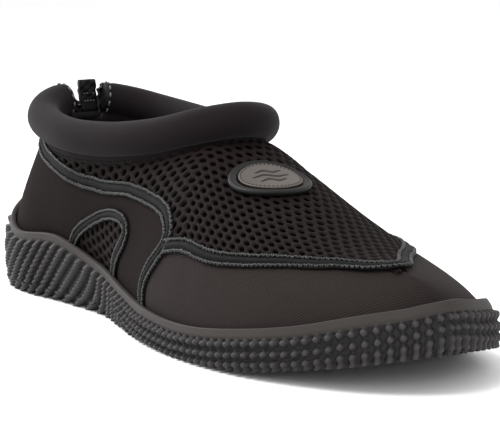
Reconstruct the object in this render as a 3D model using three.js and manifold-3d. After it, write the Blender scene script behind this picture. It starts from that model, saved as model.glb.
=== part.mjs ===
// A left slip-on water shoe: a studded rubber cup sole, a stretch upper of neoprene and air-mesh
// panels sewn edge to edge under raised seam tapes, a padded roll collar split at the heel, a small
// pull tab in that split, and an oval badge on the instep.
// Millimetres, +X towards the toe, +Y towards the lateral (little toe) side, +Z up. The origin is
// the middle of the box at ground level.
import * as THREE from "three";
import { mergeVertices } from "three/addons/utils/BufferGeometryUtils.js";
import Module from "manifold-3d";

const wasm = await Module();
wasm.setup();

// ---------------------------------------------------------------- driving dimensions
const SHOE_LENGTH = 285; // over the sole's studs
const SHOE_WIDTH = 101; // over the studs at the ball
const COLLAR_HEIGHT = 84; // top of the roll at the heel

const CLEARANCE = 0.3; // between pieces that touch on the real shoe
const SEAM_GAP = 0.6; // between the cut edges of two panels, under their tape
const SOLE_THICKNESS = 4.5; // rubber under the foot
const RAND_WALL = 2.4; // rubber outside the upper, in the smooth band
const RAND_BAND = 3; // height of the smooth band above the studs
const STUD_HEIGHT = 2; // how far the stud columns stand out of the wall
const STUD_COLUMNS = 75; // each one stands for two of the fine columns of studs
const SOLE_EDGE_BEVEL = 3; // the lower edge of the wall turns under by this much

const NEOPRENE = 2.4;
const MESH_THICKNESS = 1.1;
const LINING_THICKNESS = 0.7;
const TAPE_WIDTH = 5.4;
const WINDOW_TAPE_WIDTH = 4.2;
const TAPE_THICKNESS = 0.9;

const COLLAR_RADIUS = 6.8; // of the padded roll, over its cover
const COLLAR_COVER = 2; // neoprene around the roll
const COLLAR_SPLIT = 14; // gap between the roll's two ends at the heel
const SPLIT_MIDDLE = 1.7; // the gap sits a little to the outer side of the heel seam

const TAB_WIDTH = 7.6;
const TAB_THICKNESS = 3; // two layers of webbing
const TAB_LENGTH = 12;
const TAB_LEAN = 8; // degrees, leaning back at rest
const TAB_MIDDLE = 3.9; // the tab stands by the gap's outer end

const STROBEL_THICKNESS = 1.4;
const FOOTBED_FOAM = 4;
const FOOTBED_COVER = 0.9;

const BADGE_LENGTH = 31; // across the instep
const BADGE_WIDTH = 23; // along the instep
const BADGE_THICKNESS = 1.4;
const BADGE_RIM = 2; // width of the raised rim
const BADGE_RIM_HEIGHT = 1.2;
const BADGE_PLATE = 0.7;

// ---------------------------------------------------------------- the last
// The stations go round the foot from the heel back (0) to the toe tip (12), alike on both sides.
// They are written for one pattern size and graded from it by length, width and height.
const PATTERN = { length: 285, width: 101, height: 84 };
const LENGTHWISE = SHOE_LENGTH / PATTERN.length;
const CROSSWISE = SHOE_WIDTH / PATTERN.width;
const UPWARD = COLLAR_HEIGHT / PATTERN.height;

// foot: the edge where the upper meets the sole. top: the collar line back of the throat, then
// the ridge of the instep. wall and crown: how the section leaves the edge and arrives at the top.
const STATIONS = {
  footX: [-138, -129, -106, -75, -42, -12, 18, 48, 76, 102, 123, 135, 139],
  footMedial: [0, 17, 25, 24, 25, 34, 43, 47, 46, 39, 28, 15, 4],
  footLateral: [0, 18, 29, 33, 35, 38, 41, 45, 46, 40, 27, 10, -4],
  ground: [0, 0, 0, 0, 0, 0, 0, 0, 1, 5, 9, 11.5, 12.5],
  rand: [42, 32, 26, 28, 21, 15.5, 13, 12.5, 15, 19, 24, 27.5, 30],
  topX: [-106, -103, -90, -63, -38, -14, 4, 10, 38, 67, 93, 115, 131],
  topMedial: [0, 14.5, 25.5, 31, 29, 23, 13, 0, -2, -5, -7, -8, -8],
  topLateral: [0, 16.5, 29, 33, 30, 24, 14, 0, -2, -5, -7, -8, -8],
  topZ: [70, 68, 64, 61, 61, 64, 69, 71, 58, 47, 41, 39.5, 37],
  facing: [180, 140, 105, 90, 90, 90, 90, 90, 90, 90, 90, 90, 90],
  wallOut: [2, 3, 5, 6, 6, 3, 2, 1, 1, 1, 1, 1, 0],
  wallRise: [25, 25, 24, 24, 24, 24, 24, 24, 22, 20, 18, 17, 16],
  crownMedial: [6, 8, 8, 5, 6, 14, 20, 30, 30, 26, 19, 9, 0],
  crownLateral: [6, 8, 8, 5, 6, 12, 18, 24, 24, 21, 16, 8, 0],
  crownDrop: [24, 24, 22, 20, 18, 12, 6, 0, 0, 0, 0, 1, 5],
  crownForward: [0, 0, 0, 0, 0, 0, 0, 0, 0, 1, 2, 5, 8],
};
const THROAT = 7; // the station where the collar line meets the ridge
const TOE = STATIONS.footX.length - 1;
const LAPS = 2 * TOE; // stations in one whole turn
const MEDIAL = -1;
const LATERAL = 1;

const graded = (x, y, z) => new THREE.Vector3(x * LENGTHWISE, y * CROSSWISE, z * UPWARD);

// A closed curve through one point for each station: medial side out, lateral side back.
function stationLoop(pointAt, last = TOE) {
  const points = [];
  for (let i = 0; i <= last; i++) points.push(pointAt(i, MEDIAL));
  for (let i = last - 1; i > 0; i--) points.push(pointAt(i, LATERAL));
  return new THREE.CatmullRomCurve3(points, true, "catmullrom", 0.5);
}

// Outward direction in plan at a station.
function outward(i, side) {
  const angle = THREE.MathUtils.degToRad(STATIONS.facing[i]);
  return [Math.cos(angle), side * Math.sin(angle)];
}

const bySide = (side, medial, lateral) => (side === MEDIAL ? medial : lateral);
const footY = (i, side) => side * bySide(side, STATIONS.footMedial, STATIONS.footLateral)[i];
const topY = (i, side) => side * bySide(side, STATIONS.topMedial, STATIONS.topLateral)[i];

const footLoop = stationLoop((i, side) => graded(STATIONS.footX[i], footY(i, side), 0));
const levelLoop = stationLoop((i) => new THREE.Vector3(STATIONS.ground[i], STATIONS.rand[i] * UPWARD, 0));
const wallLoop = stationLoop((i, side) => {
  const [dx, dy] = outward(i, side);
  return graded(dx * STATIONS.wallOut[i], dy * STATIONS.wallOut[i], STATIONS.wallRise[i]);
});
const crownLoop = stationLoop((i, side) => {
  const [dx, dy] = outward(i, side);
  const out = bySide(side, STATIONS.crownMedial, STATIONS.crownLateral)[i];
  return graded(dx * out + STATIONS.crownForward[i], dy * out, -STATIONS.crownDrop[i]);
});
const collarLoop = stationLoop((i, side) => graded(STATIONS.topX[i], topY(i, side), STATIONS.topZ[i]), THROAT);
const ridgeLine = new THREE.CatmullRomCurve3(
  STATIONS.topX.slice(THROAT).map((x, i) => graded(x, STATIONS.topMedial[THROAT + i], STATIONS.topZ[THROAT + i])),
  false,
  "catmullrom",
  0.5,
);

const turn = (t) => ((t % 1) + 1) % 1;
const groundAt = (t) => levelLoop.getPoint(turn(t)).x;
const randAt = (t) => levelLoop.getPoint(turn(t)).y;
const floorAt = (t) => Math.max(groundAt(t), 0) + SOLE_THICKNESS;

// The collar line or the ridge, at a share t of the whole turn.
function topAt(t) {
  const station = Math.min(t, 1 - t) * LAPS;
  if (station > THROAT) return ridgeLine.getPoint((station - THROAT) / (TOE - THROAT));
  const share = station / (2 * THROAT);
  return collarLoop.getPoint(turn(t < 0.5 ? share : -share));
}

// The last's surface: t goes round, v goes up from the foot's edge (0) to the top (1).
function surface(turns, v) {
  const t = turn(turns);
  const foot = footLoop.getPoint(t).setZ(floorAt(t));
  const top = topAt(t);
  const wall = foot.clone().add(wallLoop.getPoint(t));
  const crown = top.clone().add(crownLoop.getPoint(t));
  return new THREE.CubicBezierCurve3(foot, wall, crown, top).getPoint(v);
}

const STEP = 1e-3;

function normalOnSide(t, v) {
  const along = surface(t + STEP, v).sub(surface(t - STEP, v));
  const up = surface(t, Math.min(v + STEP, 1)).sub(surface(t, Math.max(v - STEP, 0)));
  return along.cross(up).normalize();
}

// Outward normal. On the ridge both sides share one, so panels that cross it stay whole.
function normal(t, v) {
  const onRidge = v > 1 - 1e-6 && Math.min(turn(t), 1 - turn(t)) * LAPS > THROAT - 1e-6;
  const here = normalOnSide(t, v);
  return onRidge ? here.add(normalOnSide(1 - t, v)).normalize() : here;
}

const lifted = (t, v, lift) => surface(t, v).addScaledVector(normal(t, v), lift);
const sideTurn = (side, station) => (side === MEDIAL ? station / LAPS : 1 - station / LAPS);

// ---------------------------------------------------------------- solids
function toManifold(geometry) {
  const bare = geometry.index ? geometry.toNonIndexed() : geometry.clone();
  bare.deleteAttribute("normal");
  bare.deleteAttribute("uv");
  const merged = mergeVertices(bare, 1e-3);
  const index = merged.index.array;
  const kept = [];
  for (let i = 0; i < index.length; i += 3) {
    const [a, b, c] = index.slice(i, i + 3);
    if (a !== b && b !== c && c !== a) kept.push(a, b, c);
  }
  const vertProperties = new Float32Array(merged.attributes.position.array);
  return new wasm.Manifold(new wasm.Mesh({ numProp: 3, vertProperties, triVerts: new Uint32Array(kept) }));
}

function toGeometry(solid) {
  const mesh = solid.getMesh();
  const count = mesh.numVert;
  const positions = new Float32Array(count * 3);
  for (let i = 0; i < count; i++) {
    positions.set(mesh.vertProperties.subarray(i * mesh.numProp, i * mesh.numProp + 3), i * 3);
  }
  const geometry = new THREE.BufferGeometry();
  geometry.setAttribute("position", new THREE.BufferAttribute(positions, 3));
  geometry.setIndex(new THREE.BufferAttribute(new Uint32Array(mesh.triVerts), 1));
  return geometry;
}

// The largest body of a solid, without the slivers that a cut can leave.
function largest(solid) {
  const bodies = solid.decompose();
  return bodies.reduce((best, body) => (body.volume() > best.volume() ? body : best));
}

// Triangles from points, four corners at a time, turned outward if the whole came out inverted.
class Skin {
  constructor() {
    this.positions = [];
  }
  triangle(a, b, c) {
    for (const p of [a, b, c]) this.positions.push(p.x, p.y, p.z);
  }
  quad(a, b, c, d) {
    this.triangle(a, b, c);
    this.triangle(a, c, d);
  }
  // Joins two rows of points of the same length.
  strip(low, high) {
    for (let i = 0; i + 1 < low.length; i++) this.quad(low[i], low[i + 1], high[i + 1], high[i]);
  }
  geometry() {
    const geometry = new THREE.BufferGeometry();
    geometry.setAttribute("position", new THREE.Float32BufferAttribute(this.positions, 3));
    return geometry;
  }
  solid() {
    const made = toManifold(this.geometry());
    if (made.volume() > 0) return made;
    const turned = this.positions;
    for (let i = 0; i < turned.length; i += 9) {
      for (let k = 0; k < 3; k++) [turned[i + 3 + k], turned[i + 6 + k]] = [turned[i + 6 + k], turned[i + 3 + k]];
    }
    return toManifold(this.geometry());
  }
}

// A solid from closed rings, one above the other. Each end is closed by strips from the medial
// side of its ring to the lateral side.
function ringSolid(rings, acrossSteps = 1) {
  const skin = new Skin();
  for (let i = 0; i + 1 < rings.length; i++) {
    skin.strip([...rings[i], rings[i][0]], [...rings[i + 1], rings[i + 1][0]]);
  }
  const cap = (ring, flip) => {
    const half = ring.length / 2;
    const rows = [];
    for (let i = 0; i <= half; i++) {
      const a = ring[i];
      const b = ring[(ring.length - i) % ring.length];
      rows.push(Array.from({ length: acrossSteps + 1 }, (_, k) => a.clone().lerp(b, k / acrossSteps)));
    }
    for (let i = 0; i < half; i++) {
      if (flip) skin.strip(rows[i + 1], rows[i]);
      else skin.strip(rows[i], rows[i + 1]);
    }
  };
  cap(rings[0], false);
  cap(rings[rings.length - 1], true);
  return skin.solid();
}

// A ring of points round the last, from a function of the share of the turn.
const ring = (steps, pointAt) => Array.from({ length: steps }, (_, i) => pointAt(i / steps, i));

// A sheet of one thickness that follows the last. Each patch is a grid of [turn, v] pairs. The
// edges that only one quad uses become the sheet's rim.
function sheet(patches, outerLift, innerLift) {
  const points = [];
  const keys = new Map();
  const vertex = ([t, v]) => {
    const outer = lifted(t, v, outerLift);
    const key = [outer.x, outer.y, outer.z].map((c) => Math.round(c * 200)).join();
    if (!keys.has(key)) {
      keys.set(key, points.length);
      points.push([outer, lifted(t, v, innerLift)]);
    }
    return keys.get(key);
  };
  const triangles = [];
  for (const grid of patches) {
    for (let i = 0; i + 1 < grid.length; i++) {
      for (let j = 0; j + 1 < grid[i].length; j++) {
        const [a, b, c, d] = [grid[i][j], grid[i + 1][j], grid[i + 1][j + 1], grid[i][j + 1]].map(vertex);
        if (grid.flipped) triangles.push([a, c, b], [a, d, c]);
        else triangles.push([a, b, c], [a, c, d]);
      }
    }
  }
  const skin = new Skin();
  const edges = new Map();
  for (const [a, b, c] of triangles) {
    if (a === b || b === c || c === a) continue;
    skin.triangle(points[a][0], points[b][0], points[c][0]);
    skin.triangle(points[a][1], points[c][1], points[b][1]);
    for (const [p, q] of [[a, b], [b, c], [c, a]]) {
      if (edges.has(q + "," + p)) edges.delete(q + "," + p);
      else edges.set(p + "," + q, [p, q]);
    }
  }
  for (const [p, q] of edges.values()) skin.quad(points[q][0], points[p][0], points[p][1], points[q][1]);
  return skin.solid();
}

// A grid between two lines on one side of the last, each line giving [station, v] for a share s.
function patch(side, lowLine, highLine, steps, rows) {
  const grid = [];
  for (let i = 0; i <= steps; i++) {
    const [lowStation, lowV] = lowLine(i / steps);
    const [highStation, highV] = highLine(i / steps);
    const column = [];
    for (let j = 0; j <= rows; j++) {
      const station = THREE.MathUtils.lerp(lowStation, highStation, j / rows);
      column.push([sideTurn(side, station), THREE.MathUtils.lerp(lowV, highV, j / rows)]);
    }
    grid.push(column);
  }
  grid.flipped = side === LATERAL;
  return grid;
}

// A band along a line on the last, between two lifts. The line is a list of [turn, v].
function band(line, width, lowLift, highLift) {
  const skin = new Skin();
  const centre = line.map(([t, v]) => surface(t, v));
  const sections = line.map(([t, v], i) => {
    const before = centre[Math.max(i - 1, 0)];
    const after = centre[Math.min(i + 1, line.length - 1)];
    const up = normal(t, v);
    const across = up.clone().cross(after.clone().sub(before)).normalize();
    const corner = (share, lift) =>
      centre[i].clone().addScaledVector(across, (share * width) / 2).addScaledVector(up, lift);
    return [corner(-1, lowLift), corner(1, lowLift), corner(1, highLift), corner(-1, highLift)];
  });
  for (let i = 0; i + 1 < sections.length; i++) {
    skin.strip([...sections[i], sections[i][0]], [...sections[i + 1], sections[i + 1][0]]);
  }
  const [a, b, c, d] = sections[0];
  skin.quad(d, c, b, a);
  skin.quad(...sections[sections.length - 1]);
  return skin.solid();
}

// ---------------------------------------------------------------- seam lines, as [station, v]
const QUARTER_SEAM = [
  [5.67, 0],
  [5.67, 0.1],
  [5.72, 0.21],
  [5.98, 0.31],
  [6.36, 0.39],
  [6.47, 0.46],
  [6.25, 0.535],
  [5.85, 0.595],
  [4.86, 0.74],
  [3.85, 0.82],
  [3.04, 0.875],
  [2.33, 0.94],
  [1.7, 1],
];
const JUNCTION = 1 / 3; // the share of the quarter seam where the toe seam leaves it
const TOE_SEAM = [
  [7.54, 0.413],
  [8.23, 0.463],
  [8.83, 0.531],
  [9.39, 0.606],
  [10, 0.706],
  [10.6, 0.8],
  [10.95, 0.87],
  [11.25, 1],
];
const WINDOW_ARCH = [
  [3.3, 0.2],
  [3.36, 0.34],
  [3.6, 0.47],
  [4, 0.56],
  [4.42, 0.59],
  [4.82, 0.555],
  [5.02, 0.49],
  [4.96, 0.42],
  [4.72, 0.34],
  [4.52, 0.25],
  [4.42, 0.15],
  [4.4, 0],
];
const WINDOW_START = 3.3; // the arch's rear foot
const ARCH_CROWN = 5 / 12; // the share of the arch line where its crown is

const splineOf = (points) => new THREE.SplineCurve(points.map(([a, b]) => new THREE.Vector2(a, b)));
const quarterSeam = splineOf(QUARTER_SEAM);
const toeSeam = splineOf([quarterSeam.getPoint(JUNCTION).toArray(), ...TOE_SEAM]);
const windowArch = splineOf([[WINDOW_START, 0], ...WINDOW_ARCH]);
const pair = (curve, s) => curve.getPoint(THREE.MathUtils.clamp(s, 0, 1)).toArray();
const lineOn = (side, curve, steps, from = 0, to = 1) =>
  Array.from({ length: steps + 1 }, (_, i) => {
    const [station, v] = pair(curve, THREE.MathUtils.lerp(from, to, i / steps));
    return [sideTurn(side, station), v];
  });

const QUARTER_STEPS = 15;
const JUNCTION_STEPS = QUARTER_STEPS * JUNCTION;
const TOE_STEPS = 12;
const WINDOW_STEPS = 26;
const WINDOW_ROWS = 10;
const WINDOW_COLUMNS = 5;
const UPPER_ROWS = 5;
const COLLAR_STEPS = 40;
const COLLAR_SIDES = 8;

const GROOVE_DEPTH = NEOPRENE + 2;
const groove = (line) => band(line, SEAM_GAP, -GROOVE_DEPTH, 1.5);
const grooves = [
  groove(lineOn(MEDIAL, quarterSeam, QUARTER_STEPS)),
  groove(lineOn(LATERAL, quarterSeam, QUARTER_STEPS)),
  groove(wholeToeSeam(TOE_STEPS)),
];
const cutAtSeams = (solid) => largest(grooves.reduce((left, cut) => left.subtract(cut), solid));

// The toe seam from the medial quarter seam over the ridge to the lateral one.
function wholeToeSeam(steps) {
  const lateral = lineOn(LATERAL, toeSeam, steps).reverse();
  return [...lineOn(MEDIAL, toeSeam, steps), ...lateral.slice(1)];
}

// ---------------------------------------------------------------- sole
const SOLE_STEPS = 2 * STUD_COLUMNS;

// Height on the wall: the v of the last's surface at a level z.
function vAtLevel(t, z) {
  let low = 0;
  let high = 1;
  for (let i = 0; i < 24; i++) {
    const middle = (low + high) / 2;
    if (surface(t, middle).z < z) low = middle;
    else high = middle;
  }
  return low;
}

// A point outside the last's wall. Below the foot's edge the wall goes straight down.
function wallPoint(t, z, out) {
  const floor = floorAt(t);
  if (z >= floor) return lifted(t, vAtLevel(t, z), out);
  const away = footLoop.getTangent(turn(t)).cross(new THREE.Vector3(0, 0, 1)).normalize();
  return footLoop.getPoint(turn(t)).addScaledVector(away, out).setZ(z);
}

// The sole's outside as a solid, studs and all, with its rim raised and its wall grown by a margin.
function soleHull(margin, steps) {
  const level = (t, share) => THREE.MathUtils.lerp(groundAt(t), randAt(t) - RAND_BAND, share);
  const stud = (i) => RAND_WALL + margin + (i % 2 ? STUD_HEIGHT : 0.5 * STUD_HEIGHT);
  const edge = RAND_WALL + STUD_HEIGHT - SOLE_EDGE_BEVEL;
  const rings = [
    ring(steps, (t) => wallPoint(t, Math.max(groundAt(t), 0), edge)),
    ring(steps, (t, i) => wallPoint(t, level(t, 0.25), stud(i))),
    ring(steps, (t, i) => wallPoint(t, level(t, 0.92), stud(i))),
    ring(steps, (t) => wallPoint(t, level(t, 1), RAND_WALL + margin)),
    ring(steps, (t) => wallPoint(t, randAt(t) + margin, RAND_WALL + margin)),
  ];
  return ringSolid(rings, 2);
}

function outsole() {
  return largest(soleHull(0, SOLE_STEPS).subtract(lastSolid(2 * CLEARANCE, -CLEARANCE, 72, 8)));
}

// The whole last, grown by a lift, down to a drop from the foot's edge.
function lastSolid(lift, drop, steps, rows) {
  const rings = [ring(steps, (t) => wallPoint(t, floorAt(t) + drop, lift))];
  for (let j = 1; j <= rows; j++) rings.push(ring(steps, (t) => lifted(t, j / rows, lift)));
  return ringSolid(rings, 2);
}

// A plate inside the last's wall, between two heights over the foot's edge.
function plate(inset, low, high) {
  const steps = 44;
  const at = (rise) => ring(steps, (t) => wallPoint(t, floorAt(t) + rise, -inset));
  return ringSolid([at(low), at(high)], 2);
}

// ---------------------------------------------------------------- upper
const footLine = (from, to) => (s) => [THREE.MathUtils.lerp(from, to, s), 0];

const HEEL_COLUMNS = 12;

function quarterPanel(side) {
  const heel = (s) => [0, pair(quarterSeam, s)[1]];
  const solid = sheet([patch(side, heel, (s) => pair(quarterSeam, s), QUARTER_STEPS, HEEL_COLUMNS)], 0, -NEOPRENE);
  const heelSlit = new THREE.BoxGeometry(60, CLEARANCE, 200);
  heelSlit.translate(STATIONS.footX[0] * LENGTHWISE, 0, 0);
  const slit = toManifold(heelSlit);
  return cutAtSeams(solid.subtract(slit)).subtract(windowCutter(side));
}

// The arch window's grid, between its front leg and its rear leg, which meet at its crown.
function windowPatch(side, footV = 0) {
  const leg = (foot) => (s) => {
    const [station, v] = pair(windowArch, THREE.MathUtils.lerp(foot, ARCH_CROWN, s));
    return [station, s === 0 ? footV : v];
  };
  return patch(side, leg(1), leg(0), WINDOW_ROWS, WINDOW_COLUMNS);
}

const WINDOW_UNDERCUT = -0.03; // the opening is cut through the panel's lower edge

function windowGroove(side) {
  const below = (station) => [sideTurn(side, station), WINDOW_UNDERCUT];
  const front = WINDOW_ARCH[WINDOW_ARCH.length - 1][0];
  return groove([below(WINDOW_START), ...lineOn(side, windowArch, WINDOW_STEPS), below(front)]);
}

const windowCutter = (side) => sheet([windowPatch(side, WINDOW_UNDERCUT)], 1, -GROOVE_DEPTH).add(windowGroove(side));
const windowMesh = (side) => largest(sheet([windowPatch(side)], 0, -MESH_THICKNESS).subtract(windowGroove(side)));

const STRAP_FRONT = 7.3; // the station at the foot of the rib that ends where the two seams meet

// The toe panel runs from the quarter seams round the toe, below the toe seam.
function toePanel() {
  const patches = [];
  for (const side of [MEDIAL, LATERAL]) {
    patches.push(
      patch(
        side,
        footLine(QUARTER_SEAM[0][0], STRAP_FRONT),
        (s) => pair(quarterSeam, s * JUNCTION),
        JUNCTION_STEPS,
        UPPER_ROWS,
      ),
      patch(
        side,
        footLine(STRAP_FRONT, TOE),
        seamThenRidge,
        TOE_STEPS,
        UPPER_ROWS,
      ),
    );
  }
  return patches;
}

// The toe seam up to the ridge, then the ridge to the toe tip.
const SEAM_SHARE = 0.75;

function seamThenRidge(s) {
  if (s <= SEAM_SHARE) return pair(toeSeam, s / SEAM_SHARE);
  const ridgeStart = TOE_SEAM[TOE_SEAM.length - 1][0];
  return [THREE.MathUtils.lerp(ridgeStart, TOE, (s - SEAM_SHARE) / (1 - SEAM_SHARE)), 1];
}

// The vamp: from the quarter and toe seams up to the collar line and over the ridge.
function vampPatches() {
  const patches = [];
  const heelStation = QUARTER_SEAM[QUARTER_SEAM.length - 1][0];
  for (const side of [MEDIAL, LATERAL]) {
    patches.push(
      patch(
        side,
        (s) => pair(quarterSeam, 1 - s * (1 - JUNCTION)),
        (s) => [THREE.MathUtils.lerp(heelStation, THROAT, s), 1],
        QUARTER_STEPS - JUNCTION_STEPS,
        UPPER_ROWS,
      ),
      patch(
        side,
        (s) => pair(toeSeam, s),
        (s) => [THREE.MathUtils.lerp(THROAT, TOE_SEAM[TOE_SEAM.length - 1][0], s), 1],
        TOE_STEPS,
        UPPER_ROWS,
      ),
    );
  }
  return patches;
}

const vampSheet = (outer, inner) => cutAtSeams(sheet(vampPatches(), outer, inner));

const TAPE_LIFT = CLEARANCE + 0.1;

const soleGuard = soleHull(CLEARANCE, 96);
const collarGuard = collarRoll(COLLAR_RADIUS + CLEARANCE);

// A tape along a line, ending at the rand below and at the roll above.
function tapeAlong(line, width) {
  const whole = band(line, width, TAPE_LIFT, TAPE_LIFT + TAPE_THICKNESS);
  return largest(whole.subtract(soleGuard).subtract(collarGuard));
}

const quarterTape = (side) => tapeAlong(lineOn(side, quarterSeam, 2 * QUARTER_STEPS), TAPE_WIDTH);
const windowTape = (side) => tapeAlong(lineOn(side, windowArch, WINDOW_STEPS), WINDOW_TAPE_WIDTH);

// One tape follows the toe seam over the ridge, between the two quarter tapes.
function toeTape() {
  const whole = tapeAlong(wholeToeSeam(2 * TOE_STEPS), TAPE_WIDTH);
  const room = [MEDIAL, LATERAL].map((side) =>
    band(lineOn(side, quarterSeam, 2 * QUARTER_STEPS), TAPE_WIDTH + 2 * CLEARANCE, -1, 3),
  );
  return largest(room.reduce((left, cut) => left.subtract(cut), whole));
}

// ---------------------------------------------------------------- collar

// The middle of the roll, seated on the top edge of the upper.
function collarCentre(share) {
  return collarLoop.getPoint(turn(share)).add(new THREE.Vector3(0, 0, COLLAR_RADIUS + CLEARANCE));
}

function splitBlock(width) {
  const block = new THREE.BoxGeometry(60, width, 80);
  const heel = collarCentre(0);
  block.translate(heel.x, SPLIT_MIDDLE, heel.z);
  return toManifold(block);
}

// A tube round the collar line.
function collarRoll(radius) {
  const skin = new Skin();
  const route = new THREE.CatmullRomCurve3(
    Array.from({ length: COLLAR_STEPS }, (_, i) => collarCentre(i / COLLAR_STEPS)),
    true,
  );
  const sections = Array.from({ length: COLLAR_STEPS + 1 }, (_, i) => {
    const share = i / COLLAR_STEPS;
    const centre = route.getPoint(share % 1);
    const ahead = route.getTangent(share % 1);
    const across = ahead.clone().cross(new THREE.Vector3(0, 0, 1)).normalize();
    const up = across.clone().cross(ahead).normalize();
    return Array.from({ length: COLLAR_SIDES + 1 }, (_, k) => {
      const angle = (2 * Math.PI * (k % COLLAR_SIDES)) / COLLAR_SIDES;
      return centre
        .clone()
        .addScaledVector(across, radius * Math.cos(angle))
        .addScaledVector(up, radius * Math.sin(angle));
    });
  });
  for (let i = 0; i < COLLAR_STEPS; i++) skin.strip(sections[i], sections[i + 1]);
  return skin.solid();
}

function collarCover() {
  const hollow = collarRoll(COLLAR_RADIUS).subtract(collarRoll(COLLAR_RADIUS - COLLAR_COVER));
  return hollow.subtract(splitBlock(COLLAR_SPLIT));
}

function collarFoam() {
  const core = collarRoll(COLLAR_RADIUS - COLLAR_COVER - CLEARANCE);
  return core.subtract(splitBlock(COLLAR_SPLIT + 1));
}

// ---------------------------------------------------------------- heel
// The pull tab: a fold of webbing that stands in the split and swings on its stitched foot.
const heelTop = collarLoop.getPoint(0);
const TAB_FOOT = heelTop.z + TAB_THICKNESS / 2 + 2 * CLEARANCE; // height of the fold it swings on
const TAB_PIVOT = new THREE.Vector3(heelTop.x, TAB_MIDDLE, TAB_FOOT);

function pullTab() {
  const half = TAB_THICKNESS / 2;
  const outline = new THREE.Shape();
  outline.absarc(0, 0, half, Math.PI, 2 * Math.PI, false);
  outline.lineTo(half, TAB_LENGTH - half);
  outline.absarc(0, TAB_LENGTH - half, half, 0, Math.PI, false);
  const geometry = new THREE.ExtrudeGeometry(outline, { depth: TAB_WIDTH, bevelEnabled: false, curveSegments: 6 });
  geometry.translate(0, 0, -TAB_WIDTH / 2);
  geometry.rotateX(Math.PI / 2);
  return toManifold(geometry);
}

// A tape down the inside of the heel, over the seam that joins the two quarters and under the tab.
const HEEL_TAPE_EDGES = [-0.018, 0.006]; // shares of the turn
const HEEL_TAPE_ENDS = [0.22, 0.97]; // shares of the height
const HEEL_TAPE_COLUMNS = 4;
const HEEL_TAPE_ROWS = 12;

function heelSeamTape() {
  const grid = [];
  for (let i = 0; i <= HEEL_TAPE_COLUMNS; i++) {
    const t = THREE.MathUtils.lerp(...HEEL_TAPE_EDGES, i / HEEL_TAPE_COLUMNS);
    const column = [];
    for (let j = 0; j <= HEEL_TAPE_ROWS; j++) {
      column.push([t, THREE.MathUtils.lerp(...HEEL_TAPE_ENDS, j / HEEL_TAPE_ROWS)]);
    }
    grid.push(column);
  }
  const depth = NEOPRENE + 4 * CLEARANCE;
  return sheet([grid], -depth, -depth - TAPE_THICKNESS);
}

// ---------------------------------------------------------------- badge
const BADGE_CENTRE = new THREE.Vector2(37 * LENGTHWISE, -5.2 * CROSSWISE);
const BADGE_TURN = THREE.MathUtils.degToRad(-8); // seen from above
const BADGE_SLOPE = Math.cos(THREE.MathUtils.degToRad(25)); // the instep falls away under it

// The last's surface under a point in plan, found by Newton steps across the ridge.
function underPlan(x, y) {
  let station = 8;
  let v = 0.95;
  const at = (s, u) => (u <= 1 ? [sideTurn(MEDIAL, s), u] : [sideTurn(LATERAL, s), 2 - u]);
  for (let i = 0; i < 12; i++) {
    const here = surface(...at(station, v));
    const forward = surface(...at(station + 0.01, v)).sub(here).divideScalar(0.01);
    const upward = surface(...at(station, v + 0.01)).sub(here).divideScalar(0.01);
    const dx = x - here.x;
    const dy = y - here.y;
    const det = forward.x * upward.y - forward.y * upward.x;
    station += (dx * upward.y - dy * upward.x) / det;
    v += (forward.x * dy - forward.y * dx) / det;
  }
  return at(station, v);
}

function badgePoint(radius, angle, lift) {
  const along = (BADGE_WIDTH / 2) * radius * Math.cos(angle) * BADGE_SLOPE;
  const across = (BADGE_LENGTH / 2) * radius * Math.sin(angle);
  const spot = new THREE.Vector2(along, across).rotateAround(new THREE.Vector2(), BADGE_TURN).add(BADGE_CENTRE);
  const [t, v] = underPlan(spot.x, spot.y);
  return lifted(t, v, lift);
}

// An oval solid that follows the instep, from its profile: shares of the badge's size and lifts,
// starting and ending in the middle.
function oval(profile) {
  const skin = new Skin();
  const steps = 28;
  const rows = profile.map(([radius, lift]) =>
    Array.from({ length: steps + 1 }, (_, i) => badgePoint(radius, (2 * Math.PI * (i % steps)) / steps, lift)),
  );
  for (let i = 0; i + 1 < rows.length; i++) skin.strip(rows[i], rows[i + 1]);
  return skin.solid();
}

const BADGE_LIFT = 2 * CLEARANCE;
const BADGE_TOP = BADGE_LIFT + BADGE_THICKNESS;
const RIM_SHARE = 1 - (2 * BADGE_RIM) / BADGE_WIDTH;

// An oval dish with a raised rim.
function badgeBase() {
  const rimTop = BADGE_TOP + BADGE_RIM_HEIGHT;
  return oval([
    [0, BADGE_LIFT],
    [0.5, BADGE_LIFT],
    [1, BADGE_LIFT],
    [1, rimTop],
    [RIM_SHARE, rimTop],
    [RIM_SHARE, BADGE_TOP],
    [0.45, BADGE_TOP],
    [0, BADGE_TOP],
  ]);
}

// The plate lies in the dish.
function badgePlate() {
  const edge = RIM_SHARE - (2 * CLEARANCE) / BADGE_WIDTH;
  const low = BADGE_TOP + CLEARANCE;
  const high = low + BADGE_PLATE;
  return oval([
    [0, low],
    [0.45, low],
    [edge, low],
    [edge, high],
    [0.45, high],
    [0, high],
  ]);
}

// ---------------------------------------------------------------- materials and assembly
const material = (color, roughness, metalness = 0) =>
  new THREE.MeshStandardMaterial({ color, roughness, metalness });
const RUBBER = material(0x3c3a3a, 0.75);
const NEOPRENE_CLOTH = material(0x1c1818, 0.85);
const MESH_CLOTH = material(0x1a1716, 0.9);
const TAPE_CLOTH = material(0x151616, 0.45);
const WEBBING = material(0x101010, 0.8);
const INNER_CLOTH = material(0x201d1d, 0.9);
const FOAM = material(0x2b2b2b, 0.95);
const BADGE_RUBBER = material(0x141313, 0.5);
const BADGE_SATIN = material(0x7d7670, 0.4, 0.2);

const shoe = new THREE.Group();

function add(name, solid, finish) {
  const mesh = new THREE.Mesh(toGeometry(solid), finish);
  mesh.name = name;
  shoe.add(mesh);
  return mesh;
}

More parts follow.
